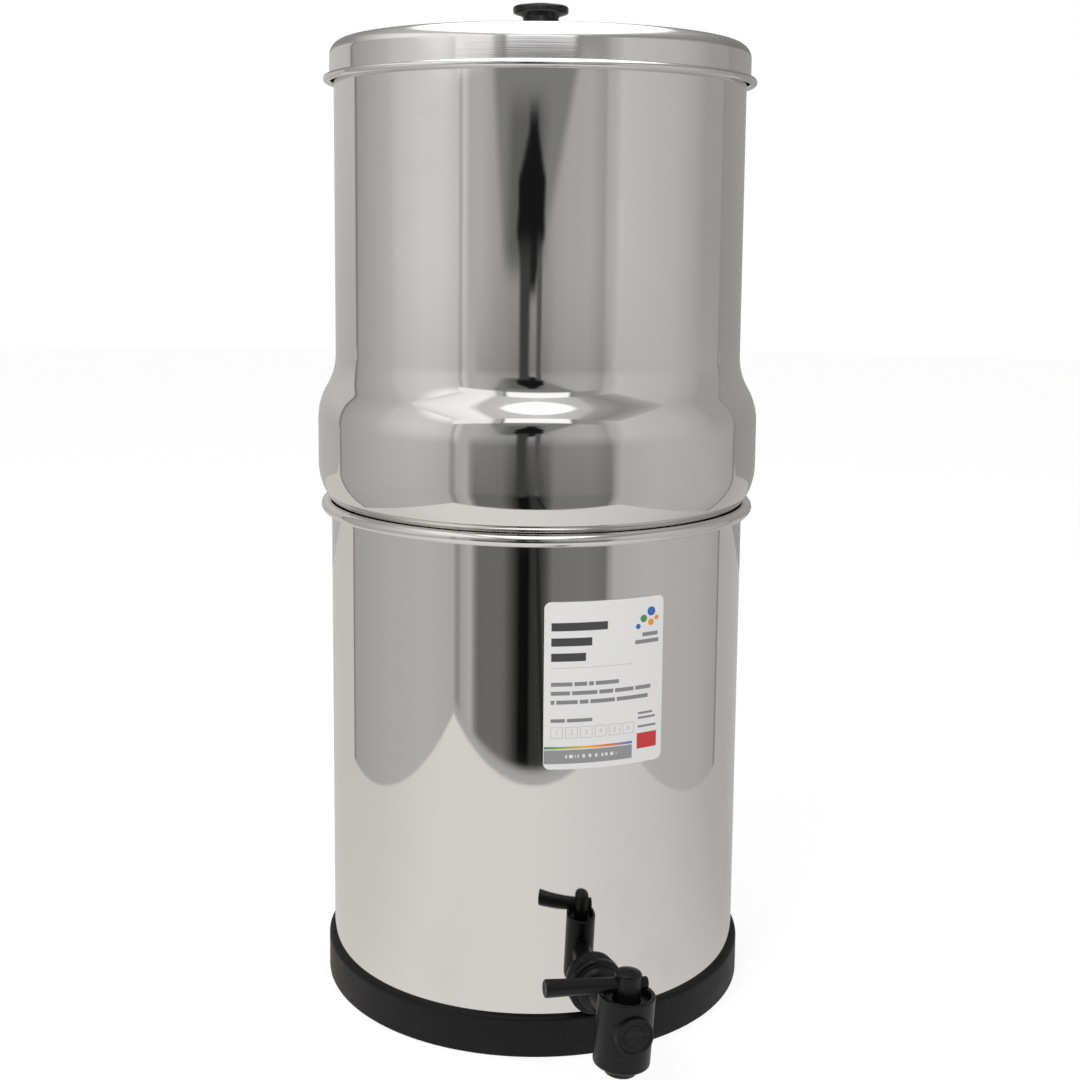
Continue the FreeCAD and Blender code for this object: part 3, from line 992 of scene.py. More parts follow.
@dataclass
class BaseRing:
    """Rubber band round the foot, with a lip under the chamber."""

    height: float = 19.0 * MM
    wall: float = 2.75 * MM
    lip: float = 4.0 * MM
    lip_width: float = 9.0 * MM
    edge: float = 1.6 * MM
    foot: float = 1.0 * MM
    chamber: float = 101.5 * MM
    corner: float = 7.0 * MM

    def build(self) -> None:
        """Model the ring and hand it over."""
        inner = self.chamber + FIT
        outer = inner + self.wall
        middle = self.chamber - self.corner
        line = Profile(self.chamber - self.lip_width, 0)
        line.arc(outer - self.foot, self.foot, self.foot, -90, 0, 15)
        line.arc(outer - self.edge, self.height - self.edge, self.edge, 0, 90, 10)
        line.line(inner, self.height)
        line.arc(middle, self.lip + self.corner, self.corner + FIT, 0, -90, 10)
        line.line(self.chamber - self.lip_width, self.lip - FIT)
        ring = smooth(line.turned("rubber_base_ring", 192))
        hand_over(ring, RUBBER, Slot.BLACK_RUBBER, Body.BASE, "base_ring")


@dataclass
class LowerChamber:
    """Steel vessel for the filtered water."""

    radius: float = 101.5 * MM
    wall: float = 0.8 * MM
    floor: float = 4.0 * MM
    corner: float = 7.0 * MM
    rim: float = 2.9 * MM
    rim_height: float = 239.2 * MM
    rim_open: float = 50.0
    tap_hole: float = 8.25 * MM
    tap_height: float = 33.0 * MM

    def build(self) -> None:
        """Model the vessel, cut the hole for the tap, and hand it over."""
        middle = self.radius - self.corner
        bead = self.radius - self.wall + self.rim
        curl = self.rim_open - 180
        foot = self.floor + self.corner
        heights = (foot + 1 * MM, self.tap_height - 12 * MM, self.tap_height + 12 * MM,
                   self.rim_height - 5 * MM)
        line = Profile(0, self.floor)
        line.arc(middle, foot, self.corner, -90, 0)
        line.rows(self.radius, heights)
        line.arc(bead, self.rim_height, self.rim - self.wall, 180, curl, 10)
        line.arc(bead, self.rim_height, self.rim, curl, 180, 8)
        line.rows(self.radius - self.wall, reversed(heights))
        line.arc(middle, foot, self.corner - self.wall, 0, -90)
        line.line(0, self.floor + self.wall)
        vessel = line.turned("lower_chamber_steel", 256)
        cutter = rod("tap_hole_cutter", self.tap_hole, (0, -self.radius - 5 * MM, self.tap_height),
                     (0, -self.radius + 5 * MM, self.tap_height))
        combined(vessel, [cutter], "DIFFERENCE")
        smooth(vessel)
        lined(vessel, LOWER_STEEL, INNER_STEEL, self.radius - self.wall / 2)
        hand_over(vessel, None, Slot.POLISHED_STEEL, Body.BASE, "lower_chamber")


@dataclass
class UpperChamber:
    """Steel vessel for the raw water, which bulges over the rim below."""

    wall: float = 0.8 * MM
    floor: float = 229.97 * MM
    corner: tuple[float, float, float] = (79.58 * MM, 249.97 * MM, 20.0 * MM)
    shoulder: tuple[float, float, float] = (77.25 * MM, 260.21 * MM, 30.5 * MM)
    shoulder_turn: float = 77.19
    bulge: float = 107.75 * MM
    radius: float = 99.1 * MM
    flare_base: float = 281.33 * MM
    flare_top: float = 312.83 * MM
    hem: tuple[float, float, float] = (97.6 * MM, 457.23 * MM, 1.5 * MM)
    hem_open: float = 130.0
    holes: float = 6.25 * MM
    hole_circle: float = 45.0 * MM

    def build(self) -> None:
        """Model the vessel with the four holes in its floor, and hand it over."""
        rise = self.flare_top - self.flare_base
        turn = 2 * degrees(atan2(self.bulge - self.radius, rise))
        bend = rise / (2 * sin(radians(turn)))
        curl = 360 - self.hem_open
        line = Profile(0, self.floor)
        line.arc(*self.corner, -90, -self.shoulder_turn, 4)
        line.arc(*self.shoulder, -self.shoulder_turn, 0, 2.5)
        line.arc(self.bulge - bend, self.flare_base, bend, 0, turn, 2.5)
        line.arc(self.radius + bend, self.flare_top, bend, 180 + turn, 180, 2.5)
        line.arc(*self.hem, 0, curl, 12)
        line.arc(self.hem[0], self.hem[1], self.hem[2] - self.wall, curl, 0, 15)
        line.arc(self.radius + bend, self.flare_top, bend + self.wall, 180, 180 + turn, 4)
        line.arc(self.bulge - bend, self.flare_base, bend - self.wall, turn, 0, 4)
        line.arc(*self.shoulder[:2], self.shoulder[2] - self.wall, 0, -self.shoulder_turn, 4)
        line.arc(*self.corner[:2], self.corner[2] - self.wall, -self.shoulder_turn, -90, 6)
        line.line(0, self.floor + self.wall)
        vessel = line.turned("upper_chamber_steel", 256)
        cutters = []
        for number in range(4):
            turned = radians(90 * number)
            foot = Vector((self.hole_circle * cos(turned), self.hole_circle * sin(turned), self.floor - 3 * MM))
            cutters.append(rod(f"floor_hole_cutter_{number}", self.holes, foot, foot + Vector((0, 0, 8 * MM))))
        combined(vessel, cutters, "DIFFERENCE")
        smooth(vessel)
        lined(vessel, UPPER_STEEL, INNER_STEEL, self.bulge - self.wall / 2)
        hand_over(vessel, None, Slot.POLISHED_STEEL, Body.UPPER_VESSEL, "upper_chamber")


@dataclass
class Lid:
    """Pressed lid with a rolled edge, and the knob that is screwed to it."""

    radius: float = 101.1 * MM
    wall: float = 0.6 * MM
    corner: tuple[float, float, float] = (94.1 * MM, 454.25 * MM, 7.0 * MM)
    crown: float = 3.0 * MM
    crown_rings: int = 8
    bead: tuple[float, float, float] = (102.3 * MM, 443.35 * MM, 1.8 * MM)
    bead_open: float = 50.0
    hole: float = 2.25 * MM
    knob_radius: float = 13.35 * MM
    knob_neck: float = 8.0 * MM
    knob_flare: float = 9.2 * MM
    knob_plateau: float = 4.5 * MM
    knob_height: float = 16.4 * MM
    knob_neck_height: float = 6.6 * MM
    knob_cone: float = 4.0 * MM
    knob_under: float = 0.9 * MM
    knob_rim: float = 3.8 * MM
    knob_edge: float = 1.3 * MM
    socket: tuple[float, float] = (2.05 * MM, 11.0 * MM)

    def top(self) -> tuple[float, float]:
        """Height of the lid's middle, and the radius of its crown."""
        crown = (self.corner[0] ** 2 + self.crown ** 2) / (2 * self.crown)
        reach = crown - self.corner[2]
        return self.corner[1] - sqrt(reach ** 2 - self.corner[0] ** 2) + crown, crown

    def pressing(self) -> None:
        """Model the lid itself."""
        top, crown = self.top()
        centre = top - crown
        turn = degrees(atan2(self.corner[1] - centre, self.corner[0]))
        curl = 540 - self.bead_open
        line = Profile(0, top)
        line.curve(0, centre, crown, 90, turn, self.crown_rings)
        line.arc(*self.corner, turn, 0, 4)
        line.arc(self.bead[0], self.bead[1], self.bead[2] - self.wall, 180, curl, 12)
        line.arc(*self.bead, curl, 180, 9)
        line.arc(self.corner[0], self.corner[1], self.corner[2] - self.wall, 0, turn, 6)
        line.curve(0, centre, crown - self.wall, turn, 90, self.crown_rings)
        lid = line.turned("lid_steel", 256)
        cutter = rod("lid_hole_cutter", self.hole, (0, 0, top - 5 * MM), (0, 0, top + 5 * MM))
        combined(lid, [cutter], "DIFFERENCE")
        smooth(lid)
        hand_over(lid, LID_STEEL, Slot.POLISHED_STEEL, Body.LID, "lid")

    def knob(self) -> None:
        """Model the knob: a neck that flares out under a thin round disc, and the disc's low crown."""
        top, _ = self.top()
        flare = top + self.knob_neck_height + self.knob_cone
        cone = flare + self.knob_under + self.knob_edge
        rim = flare + self.knob_under + self.knob_rim
        bore, depth = self.socket
        middle = self.knob_radius - self.knob_edge
        line = Profile(bore, top)
        line.arc(self.knob_neck - 0.4 * MM, top + 0.4 * MM, 0.4 * MM, -90, 0, 30)
        line.line(self.knob_neck, top + self.knob_neck_height)
        line.line(self.knob_flare - 0.3 * MM, flare - 0.3 * MM).line(self.knob_flare + 0.3 * MM, flare)
        line.arc(middle, cone, self.knob_edge, -80, 0, 10)
        line.arc(middle, rim - self.knob_edge, self.knob_edge, 0, 80, 10)
        line.line(self.knob_plateau + 1.5 * MM, top + self.knob_height - 0.12 * MM)
        line.line(self.knob_plateau, top + self.knob_height)
        line.line(0, top + self.knob_height)
        line.line(0, top + depth)
        line.line(bore, top + depth)
        knob = smooth(line.turned("lid_knob_moulding", 128), 35)
        hand_over(knob, KNOB_PLASTIC, Slot.BLACK_KNOB, Body.LID, "lid_knob")

    def build(self) -> None:
        """Model the lid and the knob, and dress the washer and the screw."""
        self.pressing()
        self.knob()
        repaint("knob_washer", ZINC)
        repaint("knob_screw", ZINC)


@dataclass
class Label:
    """Printed label on the front of the lower chamber. Its print is plain bars, dots and numbers."""

    radius: float = 101.7 * MM
    thickness: float = 0.25 * MM
    width: float = 57.4 * MM
    height: float = 76.3 * MM
    base: float = 135.1 * MM
    corner: float = 3.0 * MM
    turn: float = 2.2
    ink: float = 0.03 * MM

    def angle(self, x: float) -> float:
        """Angle in degrees, from -Y towards +X, of a place x metres right of the label's middle."""
        return self.turn + degrees(x / (self.radius + self.thickness))

    def card(self) -> None:
        """Model the label's vinyl with round corners, bent to the chamber."""
        steps = 28
        half = self.width / 2
        half_angle = degrees(half / (self.radius + self.thickness))
        line = Profile(self.radius, self.base)
        line.points.append((self.radius + self.thickness, self.base))
        line.points.append((self.radius + self.thickness, self.base + self.height))
        line.points.append((self.radius, self.base + self.height))
        card = line.swept("label_card", self.turn - half_angle, self.turn + half_angle, steps)
        clear_selection()
        bpy.ops.mesh.primitive_cube_add(size=1, location=(0, -self.radius, self.base + self.height / 2))
        blank = fresh("label_blank")
        flat = 2 * self.radius * sin(radians(half_angle)) - 0.02 * MM
        blank.scale = (flat, 30 * MM, self.height - 0.02 * MM)
        settle(blank)
        bpy.ops.object.mode_set(mode="EDIT")
        bpy.ops.mesh.select_mode(type="EDGE")
        bpy.ops.mesh.select_all(action="DESELECT")
        bpy.ops.object.mode_set(mode="OBJECT")
        for edge in blank.data.edges:
            first, last = (blank.data.vertices[i].co for i in edge.vertices)
            edge.select = abs(first.y - last.y) > 20 * MM
        bpy.ops.object.mode_set(mode="EDIT")
        bpy.ops.mesh.bevel(offset=self.corner, segments=8)
        bpy.ops.mesh.select_mode(type="VERT")
        bpy.ops.object.mode_set(mode="OBJECT")
        settle(blank, Matrix.Rotation(radians(self.turn), 4, "Z"))
        combined(card, [blank], "INTERSECT")
        hand_over(smooth(card, 20), PAPER, Slot.LABEL, Body.BASE, "front_label")

    def bar(self, left: float, right: float, low: float, high: float, finish: Finish) -> bpy.types.Object:
        """Model one printed bar.

        Args:
            left: Left end, in metres from the label's left edge.
            right: Right end.
            low: Lower edge, in metres from the label's foot.
            high: Upper edge.
            finish: Its ink.

        Returns:
            The bar.
        """
        inner = self.radius + self.thickness - 0.02 * MM
        outer = self.radius + self.thickness + self.ink
        line = Profile(inner, self.base + low)
        line.points += [(outer, self.base + low), (outer, self.base + high), (inner, self.base + high)]
        start, end = self.angle(left - self.width / 2), self.angle(right - self.width / 2)
        steps = max(1, round((end - start) / 1.5))
        return dressed(line.swept("print_bar", start, end, steps), finish)

    def at(self, piece: bpy.types.Object, x: float, z: float) -> bpy.types.Object:
        """Put a flat print, drawn in the XZ plane about the origin, on the label.

        Args:
            piece: The print.
            x: Place from the label's left edge.
            z: Place from the label's foot.

        Returns:
            The print.
        """
        turn = Matrix.Rotation(radians(self.angle(x - self.width / 2)), 4, "Z")
        shift = Matrix.Translation((0, -self.radius - self.thickness, self.base + z))
        return settle(piece, turn @ shift)

    def dot(self, x: float, z: float, size: float, finish: Finish) -> bpy.types.Object:
        """Model one round spot of ink.

        Args:
            x: Place from the label's left edge.
            z: Place from the label's foot.
            size: Its radius.
            finish: Its ink.

        Returns:
            The spot.
        """
        clear_selection()
        bpy.ops.mesh.primitive_cylinder_add(vertices=28, radius=size, depth=4 * self.ink,
                                            rotation=(pi / 2, 0, 0), location=(0, 0, 0))
        return dressed(self.at(fresh("print_dot"), x, z), finish)

    def figure(self, digit: int, x: float, z: float, size: float) -> bpy.types.Object:
        """Model one number.

        Args:
            digit: The number.
            x: Place from the label's left edge.
            z: Place from the label's foot.
            size: Height of the number.

        Returns:
            The number as a thin mesh.
        """
        clear_selection()
        bpy.ops.object.text_add(rotation=(pi / 2, 0, 0), location=(0, 0, 0))
        piece = bpy.context.object
        piece.data.body = str(digit)
        piece.data.size = size * 1.35
        piece.data.extrude = self.ink
        piece.data.resolution_u = 3
        piece.data.align_x = "CENTER"
        piece.data.align_y = "CENTER"
        take(piece)
        bpy.ops.object.convert(target="MESH")
        return dressed(self.at(tidy(fresh("print_figure")), x, z), PALE_INK)

    def words(self, left: float, widths: Iterable[float], low: float, high: float,
              finish: Finish) -> list[bpy.types.Object]:
        """A line of plain bars with word-wide gaps.

        Args:
            left: Where the line starts, in millimetres.
            widths: Lengths of the bars, in millimetres.
            low: Lower edge, in millimetres.
            high: Upper edge.
            finish: Its ink.

        Returns:
            The bars.
        """
        bars = []
        for width in widths:
            bars.append(self.bar(left * MM, (left + width) * MM, low * MM, high * MM, finish))
            left += width + 0.9
        return bars

    def print_pieces(self) -> list[bpy.types.Object]:
        """All of the print.

        Returns:
            The printed pieces.
        """
        made = []
        for low, width in ((63.2, 25.6), (56.3, 18.4), (49.4, 15.6)):
            made += self.words(3.2, (width,), low, low + 3.7, DARK_INK)
        made += self.words(3.2, (38.0,), 46.3, 46.6, PALE_INK)
        made += self.words(3.2, (9.6, 5.8, 2.2, 11.0), 38.1, 39.9, GREY_INK)
        made += self.words(3.2, (8.6, 11.6, 6.6, 9.2, 8.0), 34.0, 35.8, GREY_INK)
        made += self.words(3.2, (1.6, 9.6, 4.0, 11.6, 15.8), 29.9, 31.7, GREY_INK)
        made += self.words(3.2, (6.4, 11.6), 21.6, 23.2, GREY_INK)
        for number in range(6):
            left = 3.2 + 6.7 * number
            for low, high in ((14.2, 14.5), (19.2, 19.5)):
                made.append(self.bar(left * MM, (left + 5.6) * MM, low * MM, high * MM, PALE_INK))
            for side in (left, left + 5.3):
                made.append(self.bar(side * MM, (side + 0.3) * MM, 14.2 * MM, 19.5 * MM, PALE_INK))
            made.append(self.figure(number + 1, (left + 2.8) * MM, 16.85 * MM, 2.6 * MM))
        stripe = self.bar(0.3 * MM, 41.5 * MM, 9.4 * MM, 10.5 * MM, PAPER)
        low, high = self.angle(-self.width / 2), self.angle(12 * MM)
        reach = self.radius + self.thickness
        made.append(dressed(stripe, RainbowInk("label_rainbow_ink", reach * sin(radians(low)),
                                               reach * sin(radians(high)))))
        made.append(self.bar(0.3 * MM, 41.5 * MM, 2.6 * MM, 8.9 * MM, BAND_INK))
        made += self.words(10.0, (4.6, 12.0, 5.4), 5.1, 6.6, PAPER)
        made.append(self.bar(44.0 * MM, 54.4 * MM, 6.4 * MM, 13.6 * MM, RED_INK))
        for low, width in ((22.4, 7.6), (20.2, 9.2), (16.2, 9.6)):
            made += self.words(44.4, (width,), low, low + 1.0, GREY_INK)
        for x, z, size, finish in ((50.6, 69.4, 2.1, BLUE_INK), (46.6, 66.4, 1.7, GREEN_INK),
                                   (50.4, 64.4, 1.5, ORANGE_INK), (53.4, 66.2, 1.1, ORANGE_INK),
                                   (43.8, 63.0, 1.2, BLUE_INK)):
            made.append(self.dot(x * MM, z * MM, size * MM, finish))
        made += self.words(46.0, (8.2,), 58.2, 60.0, GREY_INK)
        made += self.words(42.4, (12.4,), 55.0, 56.8, GREY_INK)
        return made

    def build(self) -> None:
        """Model the card and its print."""
        self.card()
        hand_over(joined("label_print", self.print_pieces()), None, Slot.LABEL, Body.BASE)


@dataclass
class Tap:
    """Lever tap: moulded body, washers, nut, turning plug with its lever, and its retaining ring."""

    lean: float = 4.0
    height: float = 33.0 * MM
    chamber: float = 101.5 * MM
    wall: float = 0.8 * MM
    tail: float = 8.0 * MM
    tail_bore: float = 4.0 * MM
    tail_end: float = 87.2 * MM
    thread_depth: float = 0.9 * MM
    thread_pitch: float = 1.6 * MM
    thread_turns: int = 7
    flange: float = 13.0 * MM
    flange_seat: float = 103.7 * MM
    flange_face: float = 106.7 * MM
    hub: float = 10.7 * MM
    hub_step: float = 1.0 * MM
    neck: float = 7.0 * MM
    barrel: float = 12.5 * MM
    barrel_axis: float = 143.2 * MM
    barrel_top: float = 15.5 * MM
    barrel_foot: float = -15.8 * MM
    edge: float = 1.2 * MM
    boss: float = 8.4 * MM
    boss_height: float = 1.6 * MM
    boss_rise: float = 2.3 * MM
    boss_rim: float = 1.2 * MM
    boss_recess: float = 0.5 * MM
    spout: float = 7.2 * MM
    spout_length: float = 4.3 * MM
    spout_cone: float = 1.4 * MM
    spout_bore: float = 3.5 * MM
    plug: float = 9.0 * MM
    plug_base: float = -11.5 * MM
    seal_groove: tuple[float, float, float] = (7.05 * MM, 5.6 * MM, 7.8 * MM)
    plug_top: float = 10.4 * MM
    head: float = 5.9 * MM
    head_edge: float = 1.6 * MM
    head_crown: float = 1.2 * MM
    head_top: float = 26.6 * MM
    inner_washer: float = 2.5 * MM
    nut: float = 26.0 * MM
    nut_height: float = 8.0 * MM
    retainer: float = 10.4 * MM
    retainer_height: float = 2.0 * MM
    lever_height: float = 19.7 * MM
    lever_root: float = 3.1 * MM
    lever_seat: float = 1.1 * MM
    lever_tip: float = 3.85 * MM
    lever_length: float = 37.4 * MM
    lever_edge: float = 0.7 * MM
    spigot: float = 2.7 * MM
    spigot_proud: float = 2.9 * MM

    def place(self, turn: Turn, at_barrel: bool, lift: float = 0.0) -> Matrix:
        """Where a piece that was turned about Z goes.

        Args:
            turn: How it is laid.
            at_barrel: Whether it goes to the barrel's axis.
            lift: Height above the stem's centre line.

        Returns:
            Its place.
        """
        laid = {Turn.UPRIGHT: Matrix.Identity(4), Turn.OUTWARDS: Matrix.Rotation(pi / 2, 4, "X"),
                Turn.SIDEWAYS: Matrix.Rotation(-pi / 2, 4, "Y")}[turn]
        shift = Matrix.Translation((0, -self.barrel_axis if at_barrel else 0, lift))
        fitted = Matrix.Translation((0, 0, self.height)) @ Matrix.Rotation(radians(self.lean), 4, "Y")
        return fitted @ shift @ laid

    def body(self) -> None:
        """Model the tap's body with its thread, flange, hub, neck, barrel, boss and spout."""
        core = self.tail - self.thread_depth
        seat = self.flange_seat
        face = self.flange_face
        stem = Profile(0, self.tail_end)
        stem.line(core - CHAMFER, self.tail_end).line(core, self.tail_end + CHAMFER)
        stem.line(core, self.chamber - self.wall - 0.3 * MM).line(self.tail, self.chamber - self.wall)
        stem.line(self.tail, seat)
        stem.arc(self.flange - 0.4 * MM, seat + 0.4 * MM, 0.4 * MM, -90, 0, 30)
        stem.arc(self.flange - 1 * MM, face - 1 * MM, 1 * MM, 0, 90, 15)
        stem.arc(self.hub + 0.5 * MM, face + 0.5 * MM, 0.5 * MM, 270, 180, 30)
        stem.arc(self.neck, face + self.hub_step, self.hub - self.neck, 0, 78, 8)
        stem.line(self.neck + 0.25 * MM, face + self.hub_step + self.hub - self.neck + 0.3 * MM)
        stem.line(self.neck, face + self.hub_step + self.hub - self.neck + 0.9 * MM)
        stem.line(self.neck, self.barrel_axis - self.barrel - 0.6 * MM)
        stem.arc(self.neck + 1.6 * MM, self.barrel_axis - self.barrel + 0.2 * MM, 1.6 * MM, 180, 125, 14)
        stem.line(self.neck + 0.7 * MM, self.barrel_axis - 6 * MM)
        stem.line(0, self.barrel_axis - 6 * MM)
        body = settle(stem.turned("tap_body_moulding", 96), self.place(Turn.OUTWARDS, False))

        foot = self.barrel_foot
        drop = foot - self.spout_length
        barrel = Profile(0, drop)
        barrel.arc(self.spout - 0.6 * MM, drop + 0.6 * MM, 0.6 * MM, -90, 0, 18)
        barrel.line(self.spout + self.spout_cone, foot)
        barrel.arc(self.barrel - self.edge, foot + self.edge, self.edge, -90, 0, 10)
        barrel.arc(self.barrel - self.edge / 2, self.barrel_top - self.edge / 2, self.edge / 2, 0, 90, 18)
        barrel.line(0, self.barrel_top)
        upright = self.place(Turn.UPRIGHT, True)
        tools = [settle(barrel.turned("barrel", 96), upright)]

        out = self.barrel_axis + self.barrel + self.boss_height
        boss = Profile(0, self.barrel_axis + 4 * MM)
        boss.line(self.boss + 0.5 * MM, self.barrel_axis + 4 * MM)
        boss.line(self.boss, out - 0.25 * MM).line(self.boss - 0.25 * MM, out)
        boss.line(self.boss - self.boss_rim, out)
        boss.line(self.boss - self.boss_rim - 0.3 * MM, out - self.boss_recess)
        boss.line(5.2 * MM, out - self.boss_recess).line(5.0 * MM, out - 0.2 * MM)
        boss.line(4.4 * MM, out - 0.2 * MM).line(4.2 * MM, out - self.boss_recess)
        boss.line(0, out - self.boss_recess)
        tools.append(settle(boss.turned("boss", 80), self.place(Turn.OUTWARDS, False, self.boss_rise)))
        ridge = thread("tail_thread", core - 0.2 * MM, self.tail, self.thread_pitch,
                       self.tail_end + 1.0 * MM, self.thread_turns)
        tools.append(settle(ridge, self.place(Turn.OUTWARDS, False)))
        combined(body, tools, "UNION")

        base, step = self.plug_base - 2 * FIT, self.plug_top + 2 * FIT
        bore = Profile(0, base)
        bore.line(self.plug, base).line(self.plug, step)
        bore.line(self.retainer, step).line(self.retainer, self.barrel_top - 0.4 * MM)
        bore.line(self.retainer + 0.5 * MM, self.barrel_top + 0.1 * MM)
        bore.line(self.retainer + 0.5 * MM, 2 * self.barrel_top).line(0, 2 * self.barrel_top)
        cuts = [settle(bore.turned("plug_bore", 96), upright)]
        cuts.append(settle(rod("spout_bore", self.spout_bore, (0, 0, 2 * foot), (0, 0, foot / 2)), upright))
        cuts.append(settle(rod("tail_bore", self.tail_bore, (0, 0, self.tail_end - 2 * MM),
                               (0, 0, self.barrel_axis - 4 * MM)), self.place(Turn.OUTWARDS, False)))
        combined(body, cuts, "DIFFERENCE")
        smooth(tidy(body, 1e-6), 32)
        hand_over(body, TAP_PLASTIC, Slot.BLACK_PLASTIC, Body.BASE, "tap_body")

    def turning_plug(self) -> None:
        """Model the plug: its core, its crowned head, the water's elbow and the hole for the lever."""
        core = self.plug - FIT
        base = self.plug_base
        groove, low, high = self.seal_groove
        line = Profile(0, base)
        line.line(core, base).line(core, low).line(groove, low).line(groove, high)
        line.line(core, high).line(core, self.plug_top).line(self.head, self.plug_top)
        line.arc(self.head - self.head_edge, self.head_top - self.head_crown - self.head_edge,
                 self.head_edge, 0, 72, 9)
        line.line(1.6 * MM, self.head_top - 0.15 * MM)
        line.line(0, self.head_top)
        upright = self.place(Turn.UPRIGHT, True)
        plug = settle(line.turned("tap_plug_moulding", 96), upright)
        near, far = (-self.plug, 0, self.lever_height), (self.plug, 0, self.lever_height)
        seat = (self.lever_seat - self.head, 0, self.lever_height)
        cuts = [rod("plug_port", self.spout_bore, (-1 * MM, 0, 0), (self.plug * 1.1, 0, 0)),
                rod("plug_drop", self.spout_bore, (0, 0, 2 * base), (0, 0, 1 * MM)),
                rod("lever_seat", self.lever_root + FIT, near, seat),
                rod("cross_hole", self.spigot + FIT, near, far)]
        combined(plug, [settle(cut, upright) for cut in cuts], "DIFFERENCE")
        smooth(tidy(plug, 1e-6), 32)
        hand_over(plug, TAP_PLASTIC, Slot.BLACK_PLASTIC, Body.TAP_HANDLE, "tap_plug")

    def lever(self) -> None:
        """Model the lever: a spigot, a taper that widens to the tip, and a dished end."""
        end = -self.head - self.spigot_proud
        root = self.head - self.lever_seat
        tip = self.lever_tip
        line = Profile(0, end)
        line.arc(self.spigot - 0.4 * MM, end + 0.4 * MM, 0.4 * MM, -90, 0, 30)
        line.line(self.spigot, root).line(self.lever_root, root)
        line.line(self.lever_root, root + 2 * MM)
        line.arc(tip - self.lever_edge, self.lever_length - self.lever_edge, self.lever_edge, 0, 90, 15)
        line.line(tip - 1.3 * MM, self.lever_length - 0.12 * MM)
        line.line(0, self.lever_length - 0.3 * MM)
        lever = smooth(line.turned("tap_lever_moulding", 80), 40)
        settle(lever, self.place(Turn.SIDEWAYS, True, self.lever_height))
        hand_over(lever, TAP_PLASTIC, Slot.BLACK_PLASTIC, Body.TAP_HANDLE, "tap_lever")

    def rings(self) -> None:
        """Model the retaining ring and the nut, and dress the washers and the seal."""
        base = self.plug_top + 2 * FIT
        top = base + self.retainer_height
        outer = self.retainer - FIT / 2
        inner = self.head + FIT
        line = Profile(inner, base)
        line.line(outer, base).line(outer, top - 0.3 * MM).line(outer - 0.3 * MM, top)
        line.line(inner + 0.4 * MM, top).line(inner, top - 0.4 * MM)
        ring = settle(line.turned("plug_retaining_ring", 96), self.place(Turn.UPRIGHT, True))
        hand_over(smooth(ring), TAP_PLASTIC, Slot.BLACK_PLASTIC, Body.BASE, "plug_retainer")
        seat = self.chamber - self.wall - self.inner_washer
        nut = hex_nut("tap_back_nut", self.nut, self.nut_height, self.tail + FIT, seat - self.nut_height)
        settle(nut, self.place(Turn.OUTWARDS, False))
        hand_over(nut, TAP_PLASTIC, Slot.BLACK_PLASTIC, Body.BASE, "tap_nut")
        for node in ("tap_outer_washer", "tap_inner_washer", "plug_seal"):
            repaint(node, WASHER_RUBBER)

    def build(self) -> None:
        """Model every piece of the tap."""
        self.body()
        self.turning_plug()
        self.lever()
        self.rings()


def hex_nut(name: str, across: float, height: float, bore: float, base: float) -> bpy.types.Object:
    """A hexagonal nut about the Z axis, with chamfered corners.

    Args:
        name: Name of the object.
        across: Size across its flats.
        height: Its height.
        bore: Radius of its hole.
        base: Height of its lower face.

    Returns:
        The nut.
    """
    corner = across / 2 / cos(pi / 6)
    clear_selection()
    bpy.ops.mesh.primitive_cylinder_add(vertices=6, radius=corner, depth=height,
                                        location=(0, 0, base + height / 2), rotation=(0, 0, pi / 2))
    nut = settle(fresh(name))
    top, flat = base + height, across / 2 - 0.2 * MM
    slope = (corner - across / 2) * 0.6 + 0.1 * MM
    cone = Profile(0, base)
    cone.line(flat, base).line(corner, base + slope).line(corner, top - slope).line(flat, top).line(0, top)
    combined(nut, [cone.turned("nut_chamfer", 72)], "INTERSECT")
    hole = rod("nut_bore", bore, (0, 0, base - 2 * MM), (0, 0, top + 2 * MM))
    combined(nut, [hole], "DIFFERENCE")
    modified(nut, "BEVEL", width=0.25 * MM, segments=2, limit_method="ANGLE", angle_limit=radians(40))
    return smooth(nut, 30)


